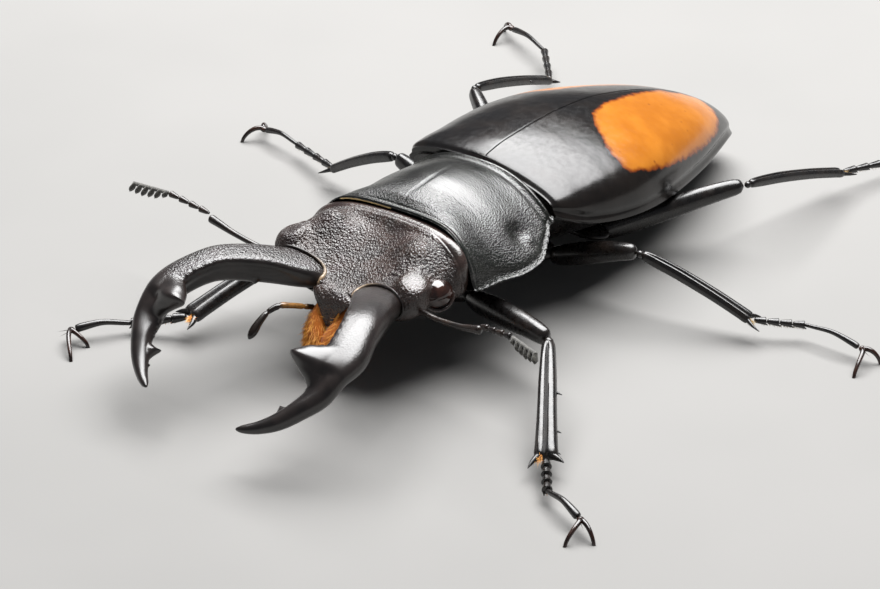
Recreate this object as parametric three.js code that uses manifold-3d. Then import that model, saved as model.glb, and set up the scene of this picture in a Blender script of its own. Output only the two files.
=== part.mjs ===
// A male stag beetle with long forked mandibles and two-coloured wing cases, standing, at life size.
// Millimetres, +Z up. The head points to -Y, the beetle's left is +X, and the feet stand on z = 0.
// While it is built, x = 0 is the plane of symmetry and y = 0 the joint of thorax and wing cases.
// At the end the whole beetle moves so that the origin lies below the middle of its box.

import * as THREE from 'three';
import { mergeVertices } from 'three/addons/utils/BufferGeometryUtils.js';
import Module from 'manifold-3d';

const wasm = await Module();
wasm.setup();

// ---------------------------------------------------------------- driving dimensions

const GAP = 0.12;            // clearance between two pieces of the shell
const SOCKET_GAP = 0.3;      // clearance round the head and the roots of the mandibles
const SUTURE_GAP = 0.05;     // from the plane of symmetry to each wing case
const SHELL = 0.9;           // thickness of a wing case
const EYE_CENTRE = [8.2, -15.1, 9.3];
const EYE_RADII = [1.45, 1.65, 1.4];

// Sections of the body, from front to back. Every row is one section across the body.
// [y, half width, z on the midline, z of the crest, z at the side, z below]
const HEAD = [
  [-19.75, 5.4, 8.5, 8.9, 8.2, 7.2],
  [-19.3, 8.0, 8.8, 10.2, 9.2, 6.7],
  [-18.5, 8.8, 9.1, 10.8, 9.4, 6.3],
  [-17.4, 8.9, 9.8, 11.2, 9.4, 6.1],
  [-16.0, 8.7, 10.7, 12.0, 9.3, 5.9],
  [-14.5, 8.8, 11.6, 12.6, 9.2, 5.8],
  [-13.2, 9.2, 12.3, 12.7, 9.0, 5.8],
  [-12.0, 9.1, 13.0, 13.15, 9.0, 5.9],
  [-10.4, 8.4, 12.85, 12.9, 9.0, 6.2],
];
// [y, half width, z on the midline, z at the side edge, z below, fullness of the back]
const PRONOTUM = [
  [-11.3, 10.3, 13.45, 8.1, 6.4, 6.0],
  [-10.9, 10.45, 13.65, 8.0, 5.8, 5.4],
  [-10.1, 10.5, 13.8, 7.9, 5.4, 4.4],
  [-8.9, 10.6, 14.0, 7.8, 5.2, 3.3],
  [-7.7, 11.1, 14.2, 7.8, 5.1, 2.7],
  [-6.9, 11.45, 14.35, 7.8, 5.0, 2.5],
  [-5.6, 11.6, 14.5, 7.9, 4.9, 2.4],
  [-3.9, 11.4, 14.5, 8.1, 4.8, 2.3],
  [-2.6, 10.7, 14.4, 8.7, 4.8, 2.3],
  [-1.2, 9.9, 14.3, 9.6, 5.0, 2.4],
  [0.1, 9.1, 14.1, 10.3, 5.4, 2.6],
];
const THORAX_LEAN = 0.09;    // the pronotum is this much lower to the beetle's right, per millimetre across
const FRONT_SWEEP = 0.95;    // how far the pronotum's front corners reach ahead of its middle
// [y, half width, z on the suture, z at the side edge, z below the belly]
const HIND_BODY = [
  [0.4, 9.4, 14.0, 10.9, 5.5],
  [2.6, 10.0, 14.5, 9.8, 4.2],
  [4.6, 10.3, 14.75, 9.0, 3.8],
  [8.0, 10.8, 14.9, 8.2, 3.6],
  [12.0, 10.9, 14.8, 7.6, 3.4],
  [17.0, 10.0, 14.1, 6.9, 3.1],
  [24.0, 7.7, 12.0, 5.8, 2.6],
  [29.0, 5.6, 9.75, 5.0, 2.3],
  [33.0, 3.6, 7.3, 4.1, 2.1],
  [35.2, 2.2, 5.4, 3.2, 2.1],
  [36.2, 1.1, 3.8, 2.6, 2.2],
];
const WING_ROUNDNESS = 0.6;
const WING_RIDGE = 0.1;      // how much each wing case falls away from the suture, as on a low roof
const BELLY_KEEL = 2.2;
const THORAX_END = 13.2;     // y where the chest plates end and the belly begins
const BELLY_END = 35.2;
const BELLY_RINGS = [13.2, 18.4, 22.8, 26.8, 30.4, 35.2];
const GROOVE = 0.25;         // depth of the grooves between the belly rings
const SCUTELLUM = { front: 0.9, back: 3.9, half: 1.75, top: 14.0, thick: 0.8 };

// The left mandible along its middle line: [x, y, z, half width, half height]
const MANDIBLE = [
  [4.0, -17.9, 8.2, 2.3, 1.3],
  [5.0, -19.5, 8.9, 2.5, 1.5],
  [7.0, -22.3, 9.9, 2.05, 1.7],
  [8.9, -25.3, 10.6, 1.85, 1.65],
  [9.9, -27.4, 10.5, 1.75, 1.55],
  [10.8, -29.8, 9.8, 1.85, 1.45],
  [10.75, -31.9, 9.1, 1.75, 1.3],
  [10.6, -33.6, 7.7, 1.45, 1.15],
  [9.9, -35.2, 6.7, 1.05, 0.95],
  [8.7, -36.7, 5.7, 0.85, 0.8],
  [7.4, -37.9, 5.1, 0.6, 0.6],
  [6.2, -38.75, 4.85, 0.38, 0.38],
  [5.6, -39.1, 4.8, 0.1, 0.1],
];
// Teeth of the mandible: place along its rows and angle up from the inner side, how far the tooth stands out,
// its length before and after that place, and the angles that it covers above and below
const MAIN_TOOTH = { at: 6.1, angle: 0.45, reach: 2.6, before: 1.1, after: 0.85, above: 1.0, below: 0.6 };
const TIP_TOOTH = { at: 8.75, angle: 0.1, reach: 1.1, before: 0.45, after: 0.45, above: 0.8, below: 0.8 };

// The plate above the mouth, with the upper lip that hangs from it: [x, y, z, half width, half thickness]
const CLYPEUS = [
  [0, -19.95, 8.25, 2.2, 0.6],
  [0, -20.35, 8.05, 2.3, 0.5],
  [0, -20.65, 7.5, 1.8, 0.45],
  [0, -20.75, 6.8, 1.25, 0.4],
  [0, -20.85, 5.9, 0.7, 0.4],
  [0, -20.9, 5.15, 0.2, 0.25],
];
// Left lobe of the bristly tongue under the lip
const BRUSH = [
  [0.9, -19.3, 6.9, 0.55, 0.5],
  [1.35, -20.3, 6.4, 0.7, 0.5],
  [1.35, -21.2, 5.2, 1.0, 0.5],
  [1.05, -21.8, 3.9, 1.2, 0.45],
  [0.9, -21.9, 3.0, 1.0, 0.3],
];
// The palps, of which the left one points outward under its mandible
const PALPS = {
  left: [
    [2.6, -20.3, 6.0, 0.27, 0.27],
    [3.9, -21.0, 6.4, 0.27, 0.27],
    [5.0, -22.2, 6.5, 0.27, 0.27],
    [5.6, -23.5, 6.3, 0.3, 0.3],
    [6.1, -24.8, 5.9, 0.33, 0.33],
    [6.4, -26.0, 5.4, 0.4, 0.4],
    [6.5, -26.7, 5.0, 0.18, 0.18],
  ],
  right: [
    [-2.2, -20.6, 6.3, 0.27, 0.27],
    [-2.3, -21.9, 6.9, 0.27, 0.27],
    [-2.6, -23.1, 7.4, 0.27, 0.27],
    [-3.0, -24.2, 7.7, 0.3, 0.3],
    [-3.4, -25.3, 7.4, 0.27, 0.27],
    [-3.5, -26.4, 6.8, 0.35, 0.35],
    [-3.5, -27.3, 6.1, 0.42, 0.42],
    [-3.5, -27.9, 5.6, 0.18, 0.18],
  ],
};

// Feelers: root, elbow, start of the club and its tip
const FEELERS = {
  left: [[8.4, -17.9, 8.9], [16.9, -18.7, 10.2], [20.7, -18.9, 11.1], [24.8, -20.1, 11.3]],
  right: [[-8.4, -17.9, 8.3], [-17.4, -18.6, 9.4], [-22.3, -18.9, 10.4], [-27.3, -19.0, 9.8]],
};
const FEELER_HALF = 0.27;    // half thickness of the stalk
const LAMELLAE = 6;
const LAMELLA = { reach: 0.6, lean: [-0.3, -0.4, -0.75] };

// Legs: hip, knee, ankle, end of the fourth tarsal segment, end of the fifth, and the points of the two claws
const LEGS = {
  front_left: [[6.0, -8.0, 4.9], [17.9, -10.6, 6.0], [26.9, -21.4, 1.9],
    [29.8, -24.6, 1.3], [34.9, -26.2, 1.3], [37.4, -27.1, 0], [35.6, -29.0, 0]],
  front_right: [[-4.6, -7.0, 4.5], [-11.2, -11.2, 6.0], [-14.7, -24.6, 2.3],
    [-19.4, -27.5, 1.1], [-22.5, -32.0, 1.2], [-20.0, -34.9, 0], [-20.6, -32.0, 0]],
  mid_left: [[5.2, 4.5, 3.7], [14.6, 6.0, 6.8], [25.6, 9.6, 2.1],
    [29.5, 12.6, 1.7], [35.6, 13.1, 1.3], [37.1, 10.2, 0], [37.5, 13.8, 0]],
  mid_right: [[-5.2, 4.5, 3.7], [-15.2, 5.0, 7.0], [-24.5, 5.9, 2.1],
    [-31.2, 7.8, 1.6], [-36.2, 8.4, 1.3], [-38.0, 6.7, 0], [-37.8, 10.2, 0]],
  hind_left: [[4.8, 11.4, 3.0], [14.2, 22.6, 7.0], [14.6, 37.3, 2.5],
    [16.1, 43.5, 1.7], [18.7, 47.5, 1.3], [17.5, 49.5, 0], [20.7, 48.5, 0]],
  hind_right: [[-4.8, 11.4, 3.0], [-18.7, 20.2, 7.2], [-20.1, 33.5, 2.5],
    [-25.5, 38.9, 1.9], [-32.1, 41.4, 1.3], [-32.8, 39.2, 0], [-34.1, 42.4, 0]],
};
// Half sizes along a leg, in the order femur, shin, shin's end and foot
const LEG_SIZES = {
  front: { femur: 1.25, tibia: 0.88, tip: 1.15, tarsus: 0.46, spines: [0.4, 0.58, 0.76] },
  mid: { femur: 1.1, tibia: 0.62, tip: 0.78, tarsus: 0.36, spines: [0.47] },
  hind: { femur: 1.1, tibia: 0.56, tip: 0.74, tarsus: 0.36, spines: [0.52] },
};
const COXAE = {
  front: { centre: [3.2, -7.4, 4.7], radii: [2.5, 1.6, 1.2] },
  mid: { centre: [3.4, 4.2, 4.0], radii: [2.2, 1.6, 1.0] },
  hind: { centre: [3.6, 10.8, 3.6], radii: [3.2, 1.5, 0.8] },
};
const CLAW = { arch: 0.4, bend: 0.9, half: 0.27, sink: 0.15 };

// ---------------------------------------------------------------- curves through short rows of numbers

// The row at place t (0 is the first row, 1 the second and so on), smoothly blended.
function rowAt(rows, t) {
  const last = rows.length - 1;
  const i = Math.min(Math.max(Math.floor(t), 0), last - 1);
  const f = t - i;
  const a = rows[Math.max(i - 1, 0)];
  const b = rows[i];
  const c = rows[i + 1];
  const d = rows[Math.min(i + 2, last)];
  return b.map((_, k) => {
    const slopeB = (c[k] - a[k]) / 2;
    const slopeC = (d[k] - b[k]) / 2;
    const f2 = f * f;
    const f3 = f2 * f;
    return (2 * f3 - 3 * f2 + 1) * b[k] + (f3 - 2 * f2 + f) * slopeB
      + (3 * f2 - 2 * f3) * c[k] + (f3 - f2) * slopeC;
  });
}

// The row whose first number is y, for rows sorted by it.
function rowAtY(rows, y) {
  let low = 0;
  let high = rows.length - 1;
  for (let k = 0; k < 40; k++) {
    const t = (low + high) / 2;
    if (rowAt(rows, t)[0] < y) low = t;
    else high = t;
  }
  return rowAt(rows, low);
}

// 1 at the centre, and down to 0 in a straight line over the distances before and after it
const peak = (value, centre, before, after) => (
  Math.max(0, 1 - (value < centre ? (centre - value) / before : (value - centre) / after))
);
const bell = (value, centre, width) => Math.exp(-(((value - centre) / width) ** 2));

// ---------------------------------------------------------------- closed meshes from rings of points

// Rings of equal length, one after another along the piece, joined into one closed body.
function loft(rings) {
  const size = rings[0].length;
  const positions = rings.flat().flatMap((p) => [p.x, p.y, p.z]);
  const index = [];
  for (let r = 0; r + 1 < rings.length; r++) {
    for (let k = 0; k < size; k++) {
      const a = r * size + k;
      const b = r * size + ((k + 1) % size);
      index.push(a, b, b + size, a, b + size, a + size);
    }
  }
  const cap = (first, flip) => {
    let low = 0;
    let high = size - 1;
    const add = (a, b, c) => index.push(first + a, first + (flip ? c : b), first + (flip ? b : c));
    while (high - low > 1) {
      add(low, high, low + 1);
      low += 1;
      if (high - low > 1) add(low, high, high - 1);
      high -= 1;
    }
  };
  cap(0, false);
  cap((rings.length - 1) * size, true);
  return closed(positions, index);
}

// A geometry with shared corners merged, empty triangles dropped and every face pointing out.
function closed(positions, index) {
  const raw = new THREE.BufferGeometry();
  raw.setAttribute('position', new THREE.Float32BufferAttribute(positions, 3));
  raw.setIndex(index);
  const merged = mergeVertices(raw, 1e-5);
  const old = merged.index.array;
  const p = merged.attributes.position;
  const kept = [];
  let volume = 0;
  const a = new THREE.Vector3();
  const b = new THREE.Vector3();
  const c = new THREE.Vector3();
  for (let i = 0; i < old.length; i += 3) {
    const [i0, i1, i2] = [old[i], old[i + 1], old[i + 2]];
    if (i0 === i1 || i1 === i2 || i2 === i0) continue;
    kept.push(i0, i1, i2);
    a.fromBufferAttribute(p, i0);
    b.fromBufferAttribute(p, i1);
    c.fromBufferAttribute(p, i2);
    volume += a.dot(b.cross(c)) / 6;
  }
  if (volume < 0) kept.reverse();
  merged.setIndex(kept);
  return merged;
}

const solid = (geometry) => new wasm.Manifold(new wasm.Mesh({
  numProp: 3,
  vertProperties: new Float32Array(geometry.attributes.position.array),
  triVerts: new Uint32Array(geometry.index.array),
}));

function geometryOf(body) {
  const mesh = body.getMesh();
  return closed(Array.from(mesh.vertProperties), Array.from(mesh.triVerts));
}

const without = (body, ...cutters) => cutters.reduce((left, cutter) => left.subtract(cutter), body);
const joined = (...bodies) => bodies.reduce((left, right) => left.add(right));

const mirrored = (rows) => rows.map(([x, ...rest]) => [-x, ...rest]);
const towards = (from, to, share) => from.map((v, k) => v + (to[k] - v) * share);

function flipped(geometry) {
  const copy = geometry.clone().scale(-1, 1, 1);
  return closed(Array.from(copy.attributes.position.array), Array.from(copy.index.array));
}

// A limb along rows of [x, y, z, half width, half height]. The width lies level, towards the inner side of
// a left-hand piece; shape(angle, place) gives the two reaches of the section, 1 and 1 on a plain ellipse.
function limb(rows, places, sides, { grow = 0, shape = null, up = [0, 0, 1] } = {}) {
  const reference = new THREE.Vector3(...up);
  const rings = places.map((t) => {
    const [x, y, z, w, h] = rowAt(rows, t);
    const step = 0.02;
    const ahead = rowAt(rows, Math.min(t + step, rows.length - 1));
    const behind = rowAt(rows, Math.max(t - step, 0));
    const along = new THREE.Vector3(...[0, 1, 2].map((k) => ahead[k] - behind[k])).normalize();
    const side = new THREE.Vector3().crossVectors(along, reference).normalize();
    const top = new THREE.Vector3().crossVectors(side, along);
    const ring = [];
    for (let k = 0; k < sides; k++) {
      const angle = (2 * Math.PI * k) / sides;
      const extra = shape ? shape(angle, t) : 0;
      const sideways = Math.cos(angle) * (w + grow + extra);
      const upwards = Math.sin(angle) * (h + grow + extra);
      ring.push(new THREE.Vector3(x, y, z).addScaledVector(side, sideways).addScaledVector(top, upwards));
    }
    return ring;
  });
  return loft(rings);
}

// Places spread evenly along rows, for limb().
function evenly(rows, count) {
  return Array.from({ length: count }, (_, k) => (k * (rows.length - 1)) / (count - 1));
}

function ellipsoid([x, y, z], [rx, ry, rz], around, down) {
  const geometry = new THREE.SphereGeometry(1, around, down);
  geometry.deleteAttribute('normal');
  geometry.deleteAttribute('uv');
  geometry.rotateX(Math.PI / 2);
  geometry.scale(rx, ry, rz);
  geometry.translate(x, y, z);
  return closed(Array.from(geometry.attributes.position.array), Array.from(geometry.index.array));
}

// A small cone between two points, for a spine or a tooth.
function spine(from, to, radius, sides = 4) {
  const base = new THREE.Vector3(...from);
  const tip = new THREE.Vector3(...to);
  const geometry = new THREE.ConeGeometry(radius, base.distanceTo(tip), sides, 1);
  geometry.deleteAttribute('normal');
  geometry.deleteAttribute('uv');
  const turn = new THREE.Quaternion().setFromUnitVectors(
    new THREE.Vector3(0, 1, 0),
    tip.clone().sub(base).normalize(),
  );
  geometry.applyQuaternion(turn);
  geometry.translate(...base.add(tip).multiplyScalar(0.5).toArray());
  return closed(Array.from(geometry.attributes.position.array), Array.from(geometry.index.array));
}

// ---------------------------------------------------------------- head

// Height that the two brows and the two bulges before the eyes add to the head's top.
function headRelief(x, y) {
  const across = Math.abs(x);
  const brow = 1.15 * bell(across, 5.4, 2.0) * bell(y, -14.5, 1.5);
  const cheek = 1.7 * bell(across, 7.8, 1.4) * bell(y, -17.7, 1.3);
  return brow + cheek;
}

function headGeometry(grow = 0, sections = 12, sides = 18) {
  const first = HEAD[0][0] - grow;
  const last = HEAD[HEAD.length - 1][0] + grow;
  const rings = Array.from({ length: sections }, (_, s) => {
    const y = first + ((last - first) * s) / (sections - 1);
    const [, width, middle, crest, side, below] = rowAtY(HEAD, y);
    const lean = THORAX_LEAN * THREE.MathUtils.smoothstep(y, -15.5, -12.3);
    const fullness = 0.7 - 0.2 * THREE.MathUtils.smoothstep(y, -14.5, -12);
    return Array.from({ length: sides }, (__, k) => {
      const angle = (2 * Math.PI * k) / sides;
      const out = Math.abs(Math.cos(angle));
      const lift = Math.abs(Math.sin(angle));
      const x = Math.cos(angle) * (width + grow);
      const blend = THREE.MathUtils.smoothstep(out, 0.1, 0.75);
      const crown = middle + (crest - middle) * blend + headRelief(x, y) + grow;
      const z = Math.sin(angle) >= 0
        ? side + (crown - side) * lift ** fullness
        : side - (side - below + grow) * lift ** 0.8;
      return new THREE.Vector3(x, y, z + lean * x);
    });
  });
  return loft(rings);
}

// The mandible's section: a sharp upper inner ridge, a flat inner face, the teeth, and a back that is raised
// before the big tooth and steps down behind the crest that runs out to it.
function mandibleShape(angle, place) {
  const { smoothstep } = THREE.MathUtils;
  const turned = angle > Math.PI ? angle - 2 * Math.PI : angle;
  const fade = (1 - smoothstep(place, 6.0, 7.5)) * Math.min(1, place / 2);
  const ridge = 0.42 * bell(turned, 0.6, 0.38) * fade;
  const flat = 0.3 * bell(turned, -0.15, 0.55) * fade;
  const crest = MAIN_TOOTH.at - 0.4 * Math.max(turned - MAIN_TOOTH.angle, 0);
  const behind = smoothstep(place, crest - 0.05, crest + 0.3);
  const raised = 0.25 * smoothstep(place, 3.5, 5.3) * (1 - behind);
  const lowered = 0.3 * behind * (1 - smoothstep(place, 6.6, 8.2));
  const step = (raised - lowered) * bell(turned, 1.25, 0.75);
  const tooth = ({ at, angle: centre, reach, before, after, above, below }) => reach
    * peak(place, at, before, after) ** 1.2 * peak(turned, centre, below, above);
  return ridge - flat + step + tooth(MAIN_TOOTH) + tooth(TIP_TOOTH);
}

// Sections stand closer where the teeth are.
const MANDIBLE_PLACES = [
  0, 0.7, 1.4, 2, 2.8, 3.6, 4.4, 5, 5.4, 5.75, 6.1, 6.45, 7, 7.6, 8.1, 8.45, 8.75, 9.1, 9.6, 10.3, 11.1, 12,
];
const ROOT_PLACES = [0, 0.7, 1.4, 2, 3];

function mandible(side, places = MANDIBLE_PLACES, grow = 0) {
  const geometry = limb(MANDIBLE, places, 10, { grow, shape: mandibleShape });
  return side > 0 ? geometry : flipped(geometry);
}

function eye(side, grow = 0) {
  const [x, y, z] = EYE_CENTRE;
  return ellipsoid([side * x, y, z], EYE_RADII.map((r) => r + grow), 12, 6);
}

// ---------------------------------------------------------------- feelers

// The stalk's first long piece, thin at the head and knobbed at the elbow.
function scape([root, elbow]) {
  const at = (share, half, drop = 0) => {
    const [x, y, z] = towards(root, elbow, share);
    return [x, y, z - drop, half, half];
  };
  const rows = [
    at(0, FEELER_HALF), at(0.3, FEELER_HALF, 0.4), at(0.65, 1.05 * FEELER_HALF, 0.35),
    at(0.88, 1.4 * FEELER_HALF, 0.1), at(0.97, 1.5 * FEELER_HALF), at(1, 0.8 * FEELER_HALF),
  ];
  return limb(rows, evenly(rows, 7), 6);
}

// Four beads between the elbow and the club.
function funicle([, elbow, club]) {
  const start = [elbow[0], elbow[1], elbow[2] + 0.5];
  const beads = 4;
  const rows = [];
  for (let b = 0; b < beads; b++) {
    for (const [share, half] of [[0.1, 0.85], [0.55, 1.15], [0.9, 0.85]]) {
      rows.push([...towards(start, club, (b + share) / beads), half * FEELER_HALF, half * FEELER_HALF]);
    }
  }
  return limb(rows, rows.map((_, k) => k), 5);
}

// The club: a thin core with six leaves that hang forward and down.
function club([, , start, tip], side) {
  const core = [0.03, 0.5, 0.97].map((share) => [...towards(start, tip, share), 0.25, 0.25]);
  const [leanX, leanY, leanZ] = LAMELLA.lean;
  const lean = new THREE.Vector3(-side * leanX, leanY, leanZ).normalize();
  const along = new THREE.Vector3(...tip).sub(new THREE.Vector3(...start)).normalize();
  const leaves = Array.from({ length: LAMELLAE }, (_, k) => {
    const reach = LAMELLA.reach * (k === 0 ? 0.6 : 1);
    const middle = towards(start, tip, (k + 0.5) / LAMELLAE);
    const at = (share) => new THREE.Vector3(...middle).addScaledVector(lean, share * reach).toArray();
    const rows = [[...at(-0.1), 0.2, 0.22], [...at(0.7), 0.27, 0.4], [...at(1.5), 0.24, 0.3]];
    return solid(limb(rows, [0, 1, 2], 4, { up: lean.clone().cross(along).toArray() }));
  });
  return joined(solid(limb(core, [0, 1, 2], 4)), ...leaves);
}

// ---------------------------------------------------------------- thorax, wing cases and belly

// A section across the body: points from the left edge over the back to the right edge, then below.
// back(angle) tells how high the back stands there, from 0 at the side edge to 1 on the midline.
function bodyRing(y, width, crown, edge, below, sides, back) {
  return Array.from({ length: sides }, (_, k) => {
    const angle = (2 * Math.PI * k) / sides;
    const z = Math.sin(angle) >= 0
      ? edge + (crown - edge) * back(angle)
      : edge - (edge - below) * Math.abs(Math.sin(angle)) ** BELLY_KEEL;
    return new THREE.Vector3(Math.cos(angle) * width, y, z);
  });
}

function pronotumGeometry(sections = 13, sides = 20) {
  const rings = evenly(PRONOTUM, sections).map((t) => {
    const [y, width, crown, edge, below, fullness] = rowAt(PRONOTUM, t);
    const sweep = FRONT_SWEEP * THREE.MathUtils.smoothstep(-y, 8.5, -PRONOTUM[0][0]);
    const back = (angle) => 1 - Math.abs(Math.cos(angle)) ** fullness;
    return bodyRing(y, width, crown, edge, below, sides, back)
      .map(({ x, z }) => new THREE.Vector3(x, y - sweep * (x / width) ** 2, z + THORAX_LEAN * x));
  });
  return loft(rings);
}

// How deep the shell's inner side lies, less where the wing cases run out.
const shellDepth = (width, crown, edge) => Math.min(SHELL, width * 0.4, (crown - edge) * 0.6 + 0.1);

// Height over the side edge at an angle of the section, as a share of the height at the suture.
const wingBack = (angle) => Math.sin(angle) ** WING_ROUNDNESS * (1 - WING_RIDGE * Math.abs(Math.cos(angle)));

function wingCase(side, sections = 14, steps = 8) {
  const rings = evenly(HIND_BODY, sections).map((t) => {
    const [y, width, crown, edge] = rowAt(HIND_BODY, t);
    const depth = shellDepth(width, crown, edge);
    const arc = (w, top, rim) => Array.from({ length: steps }, (_, k) => {
      const angle = (Math.PI / 2) * (1 - k / (steps - 1));
      const x = SUTURE_GAP + (w - SUTURE_GAP) * Math.cos(angle);
      return new THREE.Vector3(side * x, y, rim + (top - rim) * wingBack(angle));
    });
    const outer = arc(width, crown, edge);
    const inner = arc(width - depth, crown - depth, edge - 0.1);
    return [...outer, ...inner.reverse()];
  });
  return loft(rings);
}

// The body under the wing cases, from y to y, with a groove at each belly ring's end.
function trunk(places, sides = 12) {
  const rings = places.map((y) => {
    const [, width, crown, edge, below] = rowAtY(HIND_BODY, y);
    const inset = shellDepth(width, crown, edge) + GAP;
    const groove = BELLY_RINGS.reduce((sum, ring) => sum + GROOVE * bell(y, ring, 0.3), 0);
    return bodyRing(y, width - inset, crown - inset, edge - 0.1 - GAP, below + groove, sides, wingBack);
  });
  return loft(rings);
}

// The small shield between the roots of the wing cases, as a level triangle with a raised middle.
function scutellum(grow = 0, height = SCUTELLUM.thick) {
  const { front, back, half, top } = SCUTELLUM;
  const ring = (y, reach, rise) => [
    [reach, top - 0.15],
    [0, top + rise],
    [-reach, top - 0.15],
    [-reach, top - height],
    [reach, top - height],
  ].map(([x, z]) => new THREE.Vector3(x, y, z));
  return loft([
    ring(front - grow, half + grow, grow),
    ring((front + back) / 2, half * 0.7 + grow, 0.1 + grow),
    ring(back + grow, 0.15 + grow, grow),
  ]);
}

// ---------------------------------------------------------------- legs

// Rows along the straight line between two joints: [share of the way, half width, half height, lift]
const rowsBetween = (from, to, list) => list.map(([share, w, h, lift = 0]) => {
  const [x, y, z] = towards(from, to, share);
  return [x, y, z + lift, w, h];
});

function femur([hip, knee], { femur: size }, grow = 0) {
  const rows = rowsBetween(hip, knee, [
    [0.0, 0.55 * size, 0.7 * size],
    [0.15, 0.75 * size, 0.95 * size],
    [0.45, 0.85 * size, size, 0.15],
    [0.75, 0.75 * size, 0.85 * size, 0.2],
    [0.93, 0.6 * size, 0.7 * size, 0.1],
    [0.985, 0.35 * size, 0.4 * size],
  ]);
  return limb(rows, evenly(rows, 7), 7, { grow });
}

// The shin with its outer spines, and a pair of spurs at its end.
function tibia([, knee, ankle], { tibia: size, tip, spines }, side) {
  const rows = rowsBetween(knee, ankle, [
    [0.035, 0.6 * size, 0.6 * size],
    [0.1, 0.8 * size, 0.85 * size, 0.15],
    [0.35, size, 0.9 * size, 0.35],
    [0.65, 1.1 * size, 0.85 * size, 0.3],
    [0.88, 0.95 * tip, 0.8 * size, 0.1],
    [0.96, tip, 0.75 * size],
    [0.985, 0.7 * tip, 0.5 * size],
  ]);
  const along = new THREE.Vector3(...ankle).sub(new THREE.Vector3(...knee)).normalize();
  const outward = new THREE.Vector3(-along.y, along.x, 0).normalize().multiplyScalar(side);
  const at = (share, out, ahead) => {
    const [x, y, z] = rowAt(rows, share * (rows.length - 1));
    return new THREE.Vector3(x, y, z).addScaledVector(outward, out).addScaledVector(along, ahead).toArray();
  };
  const thorns = spines.map((share) => spine(at(share, 0.5 * size, 0), at(share, 1.5 * size, 0.35), 0.3));
  const spurs = [
    spine(at(0.85, 0.4 * tip, 0), at(0.85, 1.4 * tip, 0.9), 0.42 * tip),
    spine(at(0.85, -0.5 * tip, 0), at(0.85, -1.4 * tip, 1.6), 0.38 * tip),
  ];
  return joined(solid(limb(rows, evenly(rows, 6), 6)), ...[...thorns, ...spurs].map(solid));
}

// Four short segments that widen to their ends, and the long fifth that arches to the claws.
function tarsus([, , ankle, fourth, fifth], { tarsus: size }) {
  const start = towards(ankle, fourth, 0.1);
  const segments = 4;
  const rows = [];
  for (let s = 0; s < segments; s++) {
    for (const [share, half] of [[0.1, 0.6], [0.85, 1.2]]) {
      rows.push([...towards(start, fourth, (s + share) / segments), half * size, half * size]);
    }
  }
  rows.push(...rowsBetween(fourth, fifth, [
    [0.04, 0.65 * size, 0.65 * size],
    [0.5, 0.7 * size, 0.7 * size, 0.45],
    [0.97, 0.75 * size, 0.75 * size],
  ]));
  return limb(rows, rows.map((_, k) => k), 5);
}

// Two hooked claws on a short root, each arched from the foot's end to its own point on the floor.
// They stand on their points, with soles cut level at z = 0.
function claws([, , , fourth, fifth, ...points], size) {
  const ahead = new THREE.Vector3(fifth[0] - fourth[0], fifth[1] - fourth[1], 0).normalize();
  const start = new THREE.Vector3(...fifth).addScaledVector(ahead, 0.3 + GAP);
  const root = ellipsoid(start.toArray(), [0.36, 0.36, 0.3], 6, 3);
  const hooks = points.map(([x, y]) => {
    const sole = new THREE.Vector3(x, y, -CLAW.sink);
    const reach = new THREE.Vector3(x - fifth[0], y - fifth[1], 0);
    const hump = start.clone().addScaledVector(ahead, 0.5).addScaledVector(reach, 0.2);
    const bend = sole.clone().addScaledVector(reach, -0.08);
    const path = new THREE.CubicBezierCurve3(
      start,
      hump.setZ(fifth[2] + CLAW.arch),
      bend.setZ(CLAW.bend),
      sole,
    );
    const rows = [0, 0.4, 0.75, 1].map((t, k) => {
      const half = CLAW.half - 0.02 * k;
      return [...path.getPoint(t).toArray(), half, half];
    });
    return solid(limb(rows, [0, 1, 2, 3], 4));
  });
  const foot = 0.75 * size.tarsus;
  const footEnd = rowsBetween(fourth, fifth, [[0.6, foot, foot, 0.3], [0.97, foot, foot]]);
  return without(
    joined(solid(root), ...hooks).trimByPlane([0, 0, 1], 0),
    solid(limb(footEnd, [0, 1], 5, { grow: GAP })),
  );
}

// ---------------------------------------------------------------- finishes

const finish = (color, roughness) => new THREE.MeshStandardMaterial({ color, roughness, metalness: 0 });
const FINISH = {
  head: finish(0x2b2326, 0.45),
  shell: finish(0x1b1d1e, 0.35),
  gloss: finish(0x0d0c0d, 0.15),
  wing: finish(0xc97a22, 0.25),
  eye: finish(0x120c0a, 0.05),
  mandible: finish(0x1f1b1c, 0.3),
  brush: finish(0xc9661b, 0.8),
  feeler: finish(0x241c1a, 0.4),
  leg: finish(0x0f0e0f, 0.2),
  claw: finish(0x2a120c, 0.25),
};

// ---------------------------------------------------------------- the pieces, from head to tail

const SIDES = [['left', 1], ['right', -1]];
const beetle = new THREE.Group();

function add(name, shape, material) {
  const mesh = new THREE.Mesh(shape.isBufferGeometry ? shape : geometryOf(shape), material.clone());
  mesh.name = name;
  beetle.add(mesh);
}

function addHead() {
  const jawRooms = SIDES.map(([, side]) => solid(mandible(side, ROOT_PLACES, SOCKET_GAP)));
  const eyeRooms = SIDES.map(([, side]) => solid(eye(side, GAP)));
  const scapeRooms = SIDES.map(([name]) => solid(scape(FEELERS[name])));
  const head = without(solid(headGeometry()), ...jawRooms, ...eyeRooms, ...scapeRooms);
  const headRoom = solid(headGeometry(GAP));
  const lip = solid(limb(CLYPEUS, evenly(CLYPEUS, 7), 8));
  const lipRoom = solid(limb(CLYPEUS, evenly(CLYPEUS, 7), 8, { grow: GAP }));
  const lobes = [BRUSH, mirrored(BRUSH)].map((rows) => (
    solid(limb(rows, evenly(rows, 5), 6, { up: [0, 1, 0] }))
  ));
  add('head', head, FINISH.head);
  add('clypeus', without(lip, headRoom, ...jawRooms), FINISH.head);
  add('mouth_brush', without(joined(...lobes), lipRoom, headRoom, ...jawRooms), FINISH.brush);
}

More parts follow.
